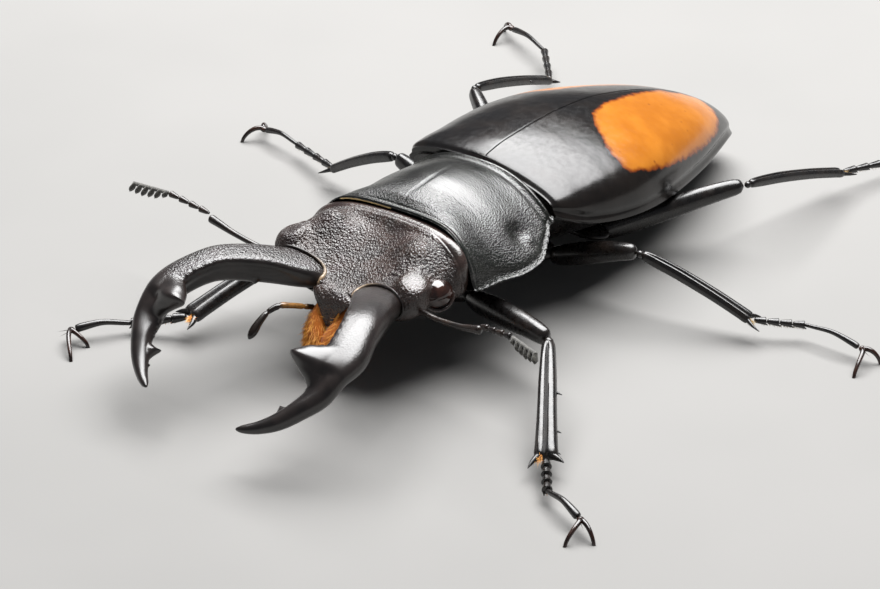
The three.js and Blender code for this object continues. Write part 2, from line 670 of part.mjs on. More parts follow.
function addPairsOfTheHead() {
  SIDES.forEach(([name, side]) => {
    add(`mandible_${name}`, mandible(side), FINISH.mandible);
    add(`eye_${name}`, eye(side), FINISH.eye);
    add(`palp_${name}`, limb(PALPS[name], evenly(PALPS[name], 7), 5), FINISH.feeler);
    add(`scape_${name}`, scape(FEELERS[name]), FINISH.feeler);
    add(`funicle_${name}`, funicle(FEELERS[name]), FINISH.feeler);
    add(`club_${name}`, club(FEELERS[name], side), FINISH.feeler);
  });
}

const legSide = (name) => (name.endsWith('left') ? 1 : -1);
const legKind = (name) => name.split('_')[0];

function coxa(name, grow = 0) {
  const { centre: [x, y, z], radii } = COXAE[legKind(name)];
  return ellipsoid([legSide(name) * x, y, z], radii.map((r) => r + grow), 8, 4);
}

// Room for the roots of the legs of one kind, to be cut from the body.
function legRooms(...kinds) {
  const names = Object.keys(LEGS).filter((name) => kinds.includes(legKind(name)));
  return names.flatMap((name) => [
    solid(coxa(name, GAP)),
    solid(femur(LEGS[name], LEG_SIZES[legKind(name)], GAP)),
  ]);
}

function addBody() {
  const shield = solid(scutellum());
  const shieldRoom = solid(scutellum(GAP, 3));
  const upward = solid(scutellum(GAP, 3).translate(0, 0, 2));
  const chest = [PRONOTUM[PRONOTUM.length - 1][0] + GAP, 2.2, 3.8, 6, 8.4, 10.8, THORAX_END - GAP];
  const belly = BELLY_RINGS.slice(0, -1).flatMap((y, k) => {
    const step = BELLY_RINGS[k + 1] - y;
    return [y, y + 0.4 * step];
  });
  add('pronotum', without(
    solid(pronotumGeometry()),
    solid(headGeometry(SOCKET_GAP)),
    ...legRooms('front'),
  ), FINISH.shell);
  add('scutellum', shield, FINISH.gloss);
  SIDES.forEach(([name, side]) => {
    add(`elytron_${name}`, without(solid(wingCase(side)), shieldRoom, upward), FINISH.wing);
  });
  add('thorax', without(solid(trunk(chest)), shieldRoom, ...legRooms('mid', 'hind')), FINISH.gloss);
  add('abdomen', without(solid(trunk([...belly, BELLY_END])), ...legRooms('hind')), FINISH.gloss);
}

function addLeg(name) {
  const points = LEGS[name];
  const size = LEG_SIZES[legKind(name)];
  add(`coxa_${name}`, coxa(name), FINISH.leg);
  add(`femur_${name}`, without(solid(femur(points, size)), solid(coxa(name, GAP))), FINISH.leg);
  add(`tibia_${name}`, tibia(points, size, legSide(name)), FINISH.leg);
  add(`tarsus_${name}`, tarsus(points, size), FINISH.leg);
  add(`claws_${name}`, claws(points, size), FINISH.claw);
}

addHead();
addPairsOfTheHead();
addBody();
Object.keys(LEGS).forEach(addLeg);

// The origin goes below the middle of the whole beetle, at the height of its feet.
const box = new THREE.Box3().setFromObject(beetle);
const middle = box.getCenter(new THREE.Vector3());
beetle.position.set(-middle.x, -middle.y, -box.min.z);

export default beetle;
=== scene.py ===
# The looks of a male stag beetle, standing as a still figure on a pale floor.
#
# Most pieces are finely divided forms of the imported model's nodes. Hair, the rims of the mandibles'
# sockets and the ridges round the eyes are added. Dimensions are in millimetres and, except where noted,
# those of the model's own source: the head points to -Y, the beetle's left is +X, x = 0 is the plane of
# symmetry and y = 0 the joint of thorax and wing cases. OFFSET moves a piece onto the frame.

import math

import bmesh
import bpy
import numpy as np
from mathutils import Matrix, Vector


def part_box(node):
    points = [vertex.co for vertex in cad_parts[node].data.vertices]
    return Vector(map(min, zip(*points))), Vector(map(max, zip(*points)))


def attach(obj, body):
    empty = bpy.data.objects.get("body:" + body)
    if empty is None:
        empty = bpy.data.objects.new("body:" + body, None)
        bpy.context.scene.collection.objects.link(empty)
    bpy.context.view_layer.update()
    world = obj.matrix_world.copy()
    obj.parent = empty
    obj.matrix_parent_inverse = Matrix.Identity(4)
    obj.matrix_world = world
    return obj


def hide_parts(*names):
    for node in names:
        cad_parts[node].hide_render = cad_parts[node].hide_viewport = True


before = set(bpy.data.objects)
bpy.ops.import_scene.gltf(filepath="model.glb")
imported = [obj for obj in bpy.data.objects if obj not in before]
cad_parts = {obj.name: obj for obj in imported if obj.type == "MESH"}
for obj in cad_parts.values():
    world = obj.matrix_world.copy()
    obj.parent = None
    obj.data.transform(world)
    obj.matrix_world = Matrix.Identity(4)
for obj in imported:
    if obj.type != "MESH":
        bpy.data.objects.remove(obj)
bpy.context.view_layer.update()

MM = 0.001

# ---- dimensions shared with the solids

SUTURE_GAP = 0.05
SHELL = 0.9
GAP = 0.12
SOCKET_GAP = 0.12           # narrower than in the solids
EYE_CENTRE = np.array([8.2, -15.1, 9.3])
EYE_RADII = np.array([1.45, 1.65, 1.4])

# [y, half width, z on the midline, z of the crest, z at the side, z below]
HEAD = [
    [-19.75, 5.4, 8.5, 8.9, 8.2, 7.2],
    [-19.3, 8.0, 8.8, 10.2, 9.2, 6.7],
    [-18.5, 8.8, 9.1, 10.8, 9.4, 6.3],
    [-17.4, 8.9, 9.8, 11.2, 9.4, 6.1],
    [-16.0, 8.7, 10.7, 12.0, 9.3, 5.9],
    [-14.5, 8.8, 11.6, 12.6, 9.2, 5.8],
    [-13.2, 9.2, 12.3, 12.7, 9.0, 5.8],
    [-12.0, 9.1, 13.0, 13.15, 9.0, 5.9],
    [-10.4, 8.4, 12.85, 12.9, 9.0, 6.2],
]
# [y, half width, z on the midline, z at the side edge, z below, fullness of the back]
PRONOTUM = [
    [-11.3, 10.3, 13.45, 8.1, 6.4, 6.0],
    [-10.9, 10.45, 13.65, 8.0, 5.8, 5.4],
    [-10.1, 10.5, 13.8, 7.9, 5.4, 4.4],
    [-8.9, 10.6, 14.0, 7.8, 5.2, 3.3],
    [-7.7, 11.1, 14.2, 7.8, 5.1, 2.7],
    [-6.9, 11.45, 14.35, 7.8, 5.0, 2.5],
    [-5.6, 11.6, 14.5, 7.9, 4.9, 2.4],
    [-3.9, 11.4, 14.5, 8.1, 4.8, 2.3],
    [-2.6, 10.7, 14.4, 8.7, 4.8, 2.3],
    [-1.2, 9.9, 14.3, 9.6, 5.0, 2.4],
    [0.1, 9.1, 14.1, 10.3, 5.4, 2.6],
]
THORAX_LEAN = 0.09
FRONT_SWEEP = 0.95
# [y, half width, z on the suture, z at the side edge, z below the belly]
HIND_BODY = [
    [0.4, 9.4, 14.0, 10.9, 5.5],
    [2.6, 10.0, 14.5, 9.8, 4.2],
    [4.6, 10.3, 14.75, 9.0, 3.8],
    [8.0, 10.8, 14.9, 8.2, 3.6],
    [12.0, 10.9, 14.8, 7.6, 3.4],
    [17.0, 10.0, 14.1, 6.9, 3.1],
    [24.0, 7.7, 12.0, 5.8, 2.6],
    [29.0, 5.6, 9.75, 5.0, 2.3],
    [33.0, 3.6, 7.3, 4.1, 2.1],
    [35.2, 2.2, 5.4, 3.2, 2.1],
    [36.2, 1.1, 3.8, 2.6, 2.2],
]
WING_ROUNDNESS = 0.6
WING_RIDGE = 0.1
BELLY_KEEL = 2.2
THORAX_SPAN = (0.12, 13.08)
BELLY_RINGS = [13.2, 18.4, 22.8, 26.8, 30.4, 35.2]
GROOVE = 0.25
SCUTELLUM = {"front": 0.9, "back": 3.9, "half": 1.75, "top": 14.0, "thick": 0.8}

# The left mandible: [x, y, z, half width, half height]
MANDIBLE = [
    [4.0, -17.9, 8.2, 2.3, 1.3],
    [5.0, -19.5, 8.9, 2.5, 1.5],
    [7.0, -22.3, 9.9, 2.05, 1.7],
    [8.9, -25.3, 10.6, 1.85, 1.65],
    [9.9, -27.4, 10.5, 1.75, 1.55],
    [10.8, -29.8, 9.8, 1.85, 1.45],
    [10.75, -31.9, 9.1, 1.75, 1.3],
    [10.6, -33.6, 7.7, 1.45, 1.15],
    [9.9, -35.2, 6.7, 1.05, 0.95],
    [8.7, -36.7, 5.7, 0.85, 0.8],
    [7.4, -37.9, 5.1, 0.6, 0.6],
    [6.2, -38.75, 4.85, 0.38, 0.38],
    [5.6, -39.1, 4.8, 0.1, 0.1],
]
# Place along the mandible, angle, reach, length before and after the place, width above and below the angle
MAIN_TOOTH = (6.1, 0.45, 2.6, 1.1, 0.85, 1.0, 0.6)
TIP_TOOTH = (8.75, 0.1, 1.1, 0.45, 0.45, 0.8, 0.8)
ROOT_TOOTH = (2.2, -0.75, 0.4, 0.16, 0.16, 0.35, 0.35)
DENTICLES = [(at, 0.15, 0.22, 0.12, 0.12, 0.35, 0.35) for at in (7.35, 7.7, 8.0, 9.6)]

CLYPEUS = [
    [0, -19.95, 8.25, 2.2, 0.6],
    [0, -20.35, 8.05, 2.3, 0.5],
    [0, -20.65, 7.5, 1.8, 0.45],
    [0, -20.75, 6.8, 1.25, 0.4],
    [0, -20.85, 5.9, 0.7, 0.4],
    [0, -20.9, 5.15, 0.2, 0.25],
]
BRUSH = [
    [0.9, -19.3, 6.9, 0.55, 0.5],
    [1.35, -20.3, 6.4, 0.7, 0.5],
    [1.35, -21.2, 5.2, 1.0, 0.5],
    [1.05, -21.8, 3.9, 1.2, 0.45],
    [0.9, -21.9, 3.0, 1.0, 0.3],
]
PALPS = {
    "left": [
        [2.6, -20.3, 6.0, 0.27, 0.27],
        [3.9, -21.0, 6.4, 0.27, 0.27],
        [5.0, -22.2, 6.5, 0.27, 0.27],
        [5.6, -23.5, 6.3, 0.3, 0.3],
        [6.1, -24.8, 5.9, 0.33, 0.33],
        [6.4, -26.0, 5.4, 0.4, 0.4],
        [6.5, -26.7, 5.0, 0.18, 0.18],
    ],
    "right": [
        [-2.2, -20.6, 6.3, 0.27, 0.27],
        [-2.3, -21.9, 6.9, 0.27, 0.27],
        [-2.6, -23.1, 7.4, 0.27, 0.27],
        [-3.0, -24.2, 7.7, 0.3, 0.3],
        [-3.4, -25.3, 7.4, 0.27, 0.27],
        [-3.5, -26.4, 6.8, 0.35, 0.35],
        [-3.5, -27.3, 6.1, 0.42, 0.42],
        [-3.5, -27.9, 5.6, 0.18, 0.18],
    ],
}
# Root, elbow, start of the club and its tip
FEELERS = {
    "left": [[8.4, -17.9, 8.9], [16.9, -18.7, 10.2], [20.7, -18.9, 11.1], [24.8, -20.1, 11.3]],
    "right": [[-8.4, -17.9, 8.3], [-17.4, -18.6, 9.4], [-22.3, -18.9, 10.4], [-27.3, -19.0, 9.8]],
}
FEELER_HALF = 0.27
LAMELLAE = 6
LAMELLA_REACH = 0.6
LAMELLA_LEAN = np.array([-0.3, -0.4, -0.75])
# Hip, knee, ankle, end of the fourth tarsal segment, end of the fifth, and the points of the two claws
LEGS = {
    "front_left": [[6.0, -8.0, 4.9], [17.9, -10.6, 6.0], [26.9, -21.4, 1.9],
                   [29.8, -24.6, 1.3], [34.9, -26.2, 1.3], [37.4, -27.1, 0], [35.6, -29.0, 0]],
    "front_right": [[-4.6, -7.0, 4.5], [-11.2, -11.2, 6.0], [-14.7, -24.6, 2.3],
                    [-19.4, -27.5, 1.1], [-22.5, -32.0, 1.2], [-20.0, -34.9, 0], [-20.6, -32.0, 0]],
    "mid_left": [[5.2, 4.5, 3.7], [14.6, 6.0, 6.8], [25.6, 9.6, 2.1],
                 [29.5, 12.6, 1.7], [35.6, 13.1, 1.3], [37.1, 10.2, 0], [37.5, 13.8, 0]],
    "mid_right": [[-5.2, 4.5, 3.7], [-15.2, 5.0, 7.0], [-24.5, 5.9, 2.1],
                  [-31.2, 7.8, 1.6], [-36.2, 8.4, 1.3], [-38.0, 6.7, 0], [-37.8, 10.2, 0]],
    "hind_left": [[4.8, 11.4, 3.0], [14.2, 22.6, 7.0], [14.6, 37.3, 2.5],
                  [16.1, 43.5, 1.7], [18.7, 47.5, 1.3], [17.5, 49.5, 0], [20.7, 48.5, 0]],
    "hind_right": [[-4.8, 11.4, 3.0], [-18.7, 20.2, 7.2], [-20.1, 33.5, 2.5],
                   [-25.5, 38.9, 1.9], [-32.1, 41.4, 1.3], [-32.8, 39.2, 0], [-34.1, 42.4, 0]],
}
LEG_SIZES = {
    "front": {"femur": 1.25, "tibia": 0.88, "tip": 1.15, "tarsus": 0.46, "spines": [0.4, 0.58, 0.76]},
    "mid": {"femur": 1.1, "tibia": 0.62, "tip": 0.78, "tarsus": 0.36, "spines": [0.47]},
    "hind": {"femur": 1.1, "tibia": 0.56, "tip": 0.74, "tarsus": 0.36, "spines": [0.52]},
}
COXAE = {
    "front": ([3.2, -7.4, 4.7], [2.5, 1.6, 1.2]),
    "mid": ([3.4, 4.2, 4.0], [2.2, 1.6, 1.0]),
    "hind": ([3.6, 10.8, 3.6], [3.2, 1.5, 0.8]),
}
CLAW = {"arch": 0.4, "bend": 0.9, "half": 0.27, "sink": 0.15}

low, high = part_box("eye_left")
OFFSET = np.array((low + high) / 2) / MM - EYE_CENTRE
UP = np.array([0, 0, 1.0])
FLAT = np.array([1, 1, 0])
CHEEK = (7.7, -17.5)        # middle of the smooth swelling before each eye: across, y
JAW_SOCKET = (5.4, 7.9)     # middle of the socket's mouth: across, z
CUT_CREASE = 45
# Number of hairs, and their radius
LOBE_HAIR, LIP_HAIR, FRINGE_HAIR, LEAF_HAIR = (2200, 0.045), (260, 0.022), (1100, 0.016), (40, 0.008)
TUFT_HAIRS, THICK_TUFT_HAIRS, PAD_HAIRS, LEG_HAIR_RADIUS, CLAW_HAIR_RADIUS = 90, 260, 120, 0.02, 0.05
SIDES = (("left", 1), ("right", -1))
rng = np.random.default_rng(7)

# ---- curves


def curve(rows, t):
    """The rows at places t (0 is the first row, 1 the second and so on), smoothly blended."""
    rows = np.asarray(rows, float)
    t = np.atleast_1d(np.asarray(t, float))
    last = len(rows) - 1
    i = np.clip(np.floor(t).astype(int), 0, last - 1)
    f = (t - i)[:, None]
    a, b = rows[np.maximum(i - 1, 0)], rows[i]
    c, d = rows[i + 1], rows[np.minimum(i + 2, last)]
    f2, f3 = f * f, f * f * f
    return ((2 * f3 - 3 * f2 + 1) * b + (f3 - 2 * f2 + f) * (c - a) / 2
            + (3 * f2 - 2 * f3) * c + (f3 - f2) * (d - b) / 2)


def curve_at(rows, values):
    """The rows at the given values of their first number."""
    places = np.linspace(0, len(rows) - 1, 3000)
    return curve(rows, np.interp(values, curve(rows, places)[:, 0], places))


def bell(value, centre, width):
    """1 at the centre and falling off over the width: where a rise or hollow of the surface lies."""
    return np.exp(-(((value - centre) / width) ** 2))


def peak(value, centre, before, after):
    """1 at the centre, and down to 0 in a straight line over the distances before and after it."""
    return np.maximum(0, 1 - np.where(value < centre, (centre - value) / before, (value - centre) / after))


def smoothstep(value, low, high):
    f = np.clip((value - low) / (high - low), 0, 1)
    return f * f * (3 - 2 * f)


def unit(v):
    return v / np.maximum(np.linalg.norm(v, axis=-1, keepdims=True), 1e-9)


def columns(rows):
    return (column[:, None] for column in rows.T)


def between(start, end, share):
    start = np.asarray(start, float)
    return start + (np.asarray(end, float) - start) * share


def circle(count):
    return np.linspace(0, 2 * math.pi, count, endpoint=False)


def signed(angle):
    """The angle from -pi to pi."""
    return np.where(angle > math.pi, angle - 2 * math.pi, angle)


def mirrored(rows):
    return [[-row[0], *row[1:]] for row in rows]


# ---- shapes


class Shape:
    """Points in millimetres with their faces, and one number per point for each named mark."""

    def __init__(self, points, faces, **marks):
        self.points = np.asarray(points, float)
        self.faces = faces
        self.marks = marks

    def marked(self, **marks):
        """The shape with these marks alone, each one number per point or one for all."""
        self.marks = {name: np.full(len(self.points), value) for name, value in marks.items()}
        return self

    def on(self, side):
        """The shape of the beetle's left, or mirrored to its right where side is -1."""
        self.points = self.points * np.array([side, 1, 1])
        return self

    def __add__(self, other):
        shift = len(self.points)
        faces = self.faces + [[i + shift for i in face] for face in other.faces]
        marks = {
            name: np.concatenate([part.marks.get(name, np.zeros(len(part.points))) for part in (self, other)])
            for name in sorted({*self.marks, *other.marks})
        }
        return Shape(np.concatenate([self.points, other.points]), faces, **marks)


def total(shapes):
    result = shapes[0]
    for shape in shapes[1:]:
        result = result + shape
    return result


def skin(rings, **marks):
    """A closed surface through rings of points, with a point in the middle of each end."""
    count, size = rings.shape[:2]
    r = np.arange(count - 1)[:, None] * size
    k = np.arange(size)
    n = (k + 1) % size
    quads = np.stack([r + k, r + n, r + n + size, r + k + size], -1).reshape(-1, 4).tolist()
    first, last = count * size, count * size + 1
    end = (count - 1) * size
    pairs = [(int(a), int(b)) for a, b in zip(k, n)]
    caps = [[first, b, a] for a, b in pairs] + [[last, a + end, b + end] for a, b in pairs]
    points = np.concatenate([rings.reshape(-1, 3), rings[0].mean(0)[None], rings[-1].mean(0)[None]])
    full = {
        name: np.concatenate([mark.reshape(-1), [mark[0].mean()], [mark[-1].mean()]])
        for name, mark in marks.items()
    }
    return Shape(points, quads + caps, **full)


def raised(rings, height):
    """The rings with every point moved out along the surface's normal by its height."""
    down = np.gradient(rings, axis=0)
    around = (np.roll(rings, -1, axis=1) - np.roll(rings, 1, axis=1)) / 2
    normal = unit(np.cross(around, down))
    centre = rings.mean(axis=1, keepdims=True)
    outward = np.sign(np.sum(normal * (rings - centre)))
    return rings + normal * outward * height[..., None]


def limb(rows, steps=48, sides=20, shape=None, start=0.0, end=0.0, grow=0.0, up=(0, 0, 1)):
    """A round piece along rows of [x, y, z, half width, half height], rounded over start and end mm."""
    rows = np.asarray(rows, float)
    last = len(rows) - 1
    u = np.linspace(0, 1, steps)
    t = last * (u - 0.12 * np.sin(2 * math.pi * u))
    here = curve(rows, t)
    along = unit(curve(rows, np.minimum(t + 0.02, last))[:, :3] - curve(rows, np.maximum(t - 0.02, 0))[:, :3])
    side = unit(np.cross(along, np.asarray(up, float)))
    top = np.cross(side, along)
    angle = circle(sides)
    extra = shape(angle[None, :], t[:, None]) if shape else np.zeros((steps, sides))
    run = np.concatenate([[0], np.cumsum(np.linalg.norm(np.diff(here[:, :3], axis=0), axis=1))])
    taper = np.ones(steps)
    for reach, distance in ((start, run), (end, run[-1] - run)):
        if reach:
            inside = np.clip(distance / reach, 0, 1)
            taper = taper * np.sqrt(np.maximum(1 - (1 - inside) ** 2, 0.01))
    wide = (here[:, 3:4] + grow + extra) * taper[:, None] * np.cos(angle)
    tall = (here[:, 4:5] + grow + extra) * taper[:, None] * np.sin(angle)
    rings = here[:, None, :3] + wide[..., None] * side[:, None] + tall[..., None] * top[:, None]
    place = np.repeat(t[:, None], sides, axis=1)
    return skin(rings, place=place, turn=np.repeat(angle[None, :], steps, axis=0))


def ellipsoid(centre, radii, around=40, down=24):
    polar = np.linspace(0.02, math.pi - 0.02, down)[:, None]
    angle = circle(around)[None, :]
    ball = np.stack([
        np.sin(polar) * np.cos(angle), np.sin(polar) * np.sin(angle), np.cos(polar) * np.ones_like(angle),
    ], -1)
    return skin(np.asarray(centre) + ball * np.asarray(radii))


def thorn(start, end, radius, bend=(0, 0, 0), sides=10):
    """A slim curved cone."""
    middle = between(start, end, 0.5) + np.asarray(bend, float)
    rows = [[*start, radius, radius], [*middle, 0.6 * radius, 0.6 * radius], [*end, 0.04, 0.04]]
    return limb(rows, 9, sides)


def hairs(roots, tips, radius):
    """Fine three-sided bristles from roots to tips, as one shape."""
    roots, tips = np.asarray(roots, float), np.asarray(tips, float)
    along = unit(tips - roots)
    side = unit(np.cross(along, np.array([0.3, 0.2, 0.93])))
    top = np.cross(side, along)
    turns = (0.3, 0.3 + 2 * math.pi / 3, 0.3 + 4 * math.pi / 3)
    corners = [roots + radius * (math.cos(a) * side + math.sin(a) * top) for a in turns]
    points = np.stack([*corners, tips], 1).reshape(-1, 3)
    first = np.arange(len(roots))[:, None, None] * 4
    faces = (first + np.array([[0, 1, 3], [1, 2, 3], [2, 0, 3], [0, 2, 1]])).reshape(-1, 3).tolist()
    tint = np.repeat(rng.random(len(roots)), 4)
    tip = np.tile([0.0, 0.0, 0.0, 1.0], len(roots))
    return Shape(points, faces, tint=tint, tip=tip)


# ---- materials


class Paint:
    """A node material built up from a few procedural layers."""

    def __init__(self, name, roughness=0.4, specular=0.5, coat=0.0, coat_roughness=0.1, sheen=0.0):
        self.material = bpy.data.materials.new(name)
        self.material.use_nodes = True
        self.tree = self.material.node_tree
        self.shader = self.tree.nodes["Principled BSDF"]
        for socket, number in (
            ("Roughness", roughness), ("Specular IOR Level", specular), ("Coat Weight", coat),
            ("Coat Roughness", coat_roughness), ("Sheen Weight", sheen),
        ):
            self.shader.inputs[socket].default_value = number
        self.place = self.add("ShaderNodeTexCoord").outputs["Object"]
        self.normal = None

    def add(self, kind, **settings):
        node = self.tree.nodes.new(kind)
        for key, value in settings.items():
            setattr(node, key, value)
        return node

    def link(self, source, target):
        self.tree.links.new(source, target)

    def put(self, socket, value):
        if hasattr(value, "default_value"):
            self.link(value, socket)
        else:
            socket.default_value = value

    def noise(self, size, detail, distortion=0.0):
        """Noise with lumps of about the given size in millimetres."""
        node = self.add("ShaderNodeTexNoise")
        node.inputs["Scale"].default_value = 1 / (size * MM)
        node.inputs["Detail"].default_value = detail
        node.inputs["Distortion"].default_value = distortion
        self.link(self.place, node.inputs["Vector"])
        return node.outputs["Fac"]

    def cells(self, size):
        node = self.add("ShaderNodeTexVoronoi")
        node.inputs["Scale"].default_value = 1 / (size * MM)
        self.link(self.place, node.inputs["Vector"])
        return node.outputs["Distance"]

    def mark(self, name):
        return self.add("ShaderNodeAttribute", attribute_name=name).outputs["Fac"]

    def math(self, operation, a, b):
        node = self.add("ShaderNodeMath", operation=operation)
        self.put(node.inputs[0], a)
        self.put(node.inputs[1], b)
        return node.outputs[0]

    def span(self, value, low, high, to_low=0.0, to_high=1.0):
        node = self.add("ShaderNodeMapRange", interpolation_type="SMOOTHSTEP")
        self.put(node.inputs["Value"], value)
        for name, number in (("From Min", low), ("From Max", high), ("To Min", to_low), ("To Max", to_high)):
            node.inputs[name].default_value = number
        return node.outputs["Result"]

    def mix(self, share, a, b):
        node = self.add("ShaderNodeMix", data_type="RGBA")
        self.put(node.inputs[0], share)
        self.put(node.inputs[6], a if hasattr(a, "default_value") else (*a, 1))
        self.put(node.inputs[7], b if hasattr(b, "default_value") else (*b, 1))
        return node.outputs[2]

    def clouds(self, size, detail, low, high, dark, light):
        """Dark and light colour in clouds of the given size."""
        return self.mix(self.span(self.noise(size, detail), low, high), dark, light)

    def colour(self, value):
        self.put(self.shader.inputs["Base Color"], value)

    def rough(self, value):
        self.put(self.shader.inputs["Roughness"], value)

    def bump(self, height, depth, strength=1.0):
        """Relief of the given depth in millimetres; strength can be a mark."""
        node = self.add("ShaderNodeBump")
        node.inputs["Distance"].default_value = depth * MM
        self.put(node.inputs["Strength"], strength)
        self.link(height, node.inputs["Height"])
        if self.normal:
            self.link(self.normal, node.inputs["Normal"])
        self.normal = node.outputs["Normal"]
        self.link(self.normal, self.shader.inputs["Normal"])


def grained_horn(name, dark, light, smooth, rough, grain, depth):
    """Horn with a wrinkled grain where the mark called grain is high, and polished where it is low."""
    paint = Paint(name, specular=0.7)
    grain_mark = paint.mark("grain")
    blotch = paint.span(paint.noise(1.6, 4), 0.3, 0.7)
    cells = paint.cells(grain)
    wrinkle = paint.noise(0.7 * grain, 2, 0.8)
    paint.colour(paint.mix(paint.math("MULTIPLY", blotch, 0.8), dark, light))
    paint.rough(paint.span(grain_mark, 0, 1, smooth, rough))
    relief = paint.math("ADD", paint.math("MULTIPLY", cells, 0.6), paint.math("MULTIPLY", wrinkle, 0.6))
    paint.bump(relief, depth, grain_mark)
    paint.bump(paint.noise(0.09, 2), 0.012, 0.4)
    return paint.material


def glossy_horn(name, dark, light, rough):
    """Smooth black horn with faint waves, fine pits and a little colour in soft clouds."""
    paint = Paint(name, specular=0.5, coat=0.25, coat_roughness=0.08)
    paint.colour(paint.clouds(1.2, 3, 0.35, 0.75, dark, light))
    paint.rough(paint.span(paint.noise(0.5, 4), 0.3, 0.8, rough, rough + 0.16))
    paint.bump(paint.noise(0.8, 2), 0.02, 0.6)
    paint.bump(paint.span(paint.cells(0.28), 0.0, 0.25), 0.012, 0.5)
    return paint.material


def wing_horn():
    """Black and orange wing case: the mark called orange rises through 0.5 at the patch's edge."""
    paint = Paint("wing_horn", specular=0.42)
    ragged = paint.math("MULTIPLY", paint.noise(0.9, 5), 0.34)
    field = paint.math("ADD", paint.mark("orange"), paint.math("SUBTRACT", ragged, 0.17))
    patch = paint.span(field, 0.46, 0.56)
    rim = paint.span(field, 0.50, 0.72)
    cloud = paint.span(paint.noise(3.0, 3), 0.3, 0.75)
    bright = paint.mix(cloud, (0.27, 0.085, 0.006), (0.34, 0.118, 0.011))
    orange = paint.mix(rim, (0.12, 0.022, 0.002), bright)
    specks = paint.math("MULTIPLY", paint.span(paint.cells(1.7), 0.12, 0.04), 0.55)
    orange = paint.mix(specks, orange, (0.10, 0.025, 0.004))
    black = paint.mix(cloud, (0.003, 0.0026, 0.0026), (0.008, 0.006, 0.005))
    paint.colour(paint.mix(patch, black, orange))
    paint.rough(paint.span(paint.noise(0.6, 4), 0.3, 0.8, 0.18, 0.26))
    paint.bump(paint.noise(1.4, 2), 0.035, 0.5)
    paint.bump(paint.span(paint.cells(0.22), 0.0, 0.3), 0.006, 0.5)
    paint.bump(paint.noise(0.12, 2), 0.004, 0.5)
    return paint.material


def bristle(name, dark, light):
    paint = Paint(name, roughness=0.55, specular=0.35, sheen=0.3)
    tint = paint.math("MULTIPLY", paint.mark("tint"), 0.6)
    tip = paint.math("MULTIPLY", paint.mark("tip"), 0.5)
    paint.colour(paint.mix(paint.math("ADD", tint, tip), dark, light))
    paint.bump(paint.noise(0.08, 3), 0.02, 0.6)
    return paint.material


def velvet():
    paint = Paint("club_velvet", roughness=0.6, specular=0.4, sheen=0.4)
    paint.colour(paint.clouds(0.15, 3, 0.35, 0.7, (0.02, 0.018, 0.016), (0.10, 0.095, 0.08)))
    paint.bump(paint.noise(0.05, 2), 0.015, 0.8)
    return paint.material


def eye_gloss():
    paint = Paint("eye_gloss", roughness=0.08, specular=0.5, coat=0.4, coat_roughness=0.02)
    paint.colour(paint.clouds(0.8, 2, 0.3, 0.7, (0.010, 0.004, 0.003), (0.035, 0.013, 0.009)))
    paint.bump(paint.cells(0.06), 0.002, 0.4)
    return paint.material


def rim_horn():
    """The edges of the mandibles' sockets: dark horn that turns pale where the mark called tint is high."""
    paint = Paint("rim_horn", roughness=0.28, specular=0.5)
    pale = paint.clouds(0.35, 3, 0.3, 0.7, (0.20, 0.12, 0.06), (0.48, 0.38, 0.27))
    paint.colour(paint.mix(paint.mark("tint"), (0.015, 0.011, 0.010), pale))
    paint.bump(paint.noise(0.15, 2), 0.03, 0.6)
    return paint.material


def banded_horn():
    """Glossy horn that is light where the mark called tint is high."""
    paint = Paint("palp_horn", roughness=0.24, specular=0.5, coat=0.2, coat_roughness=0.08)
    share = paint.math("MULTIPLY", paint.mark("tint"), paint.span(paint.noise(0.5, 3), 0.25, 0.6, 0.45, 1.0))
    paint.colour(paint.mix(share, (0.007, 0.004, 0.0025), (0.22, 0.10, 0.022)))
    paint.bump(paint.noise(0.3, 3), 0.02, 0.6)
    return paint.material


def floor_paint():
    paint = Paint("floor_paint", roughness=0.85, specular=0.2)
    paint.colour(paint.clouds(40, 3, 0.3, 0.7, (0.198, 0.195, 0.189), (0.210, 0.206, 0.200)))
    return paint.material


# Dark and light colour in linear RGB. Grained horn: roughness where smooth and where grained, size and depth
# of the grain. Glossy horn: roughness.
FINISH = {
    "head": grained_horn("head_horn", (0.015, 0.0092, 0.008), (0.04, 0.025, 0.021), 0.25, 0.2, 0.22, 0.16),
    "pronotum": grained_horn(
        "pronotum_horn", (0.003, 0.003, 0.0025), (0.009, 0.0095, 0.0075), 0.25, 0.22, 0.17, 0.07),
    "mandible": grained_horn(
        "mandible_horn", (0.006, 0.0042, 0.0038), (0.02, 0.0145, 0.013), 0.29, 0.24, 0.22, 0.09),
    "wing": wing_horn(),
    "body": glossy_horn("body_horn", (0.004, 0.0035, 0.0035), (0.011, 0.008, 0.007), 0.25),
    "leg": glossy_horn("leg_horn", (0.003, 0.0025, 0.0025), (0.010, 0.007, 0.0055), 0.24),
    "feeler": glossy_horn("feeler_horn", (0.005, 0.003, 0.0025), (0.020, 0.011, 0.007), 0.25),
    "palp": banded_horn(),
    "claw": glossy_horn("claw_horn", (0.007, 0.003, 0.002), (0.035, 0.011, 0.005), 0.18),
    "club": velvet(),
    "brush": bristle("brush_bristle", (0.55, 0.13, 0.006), (1.0, 0.52, 0.08)),
    "gold": bristle("gold_bristle", (0.16, 0.08, 0.018), (0.36, 0.24, 0.07)),
    "eye": eye_gloss(),
    "rim": rim_horn(),
    "floor": floor_paint(),
}

# ---- making the pieces


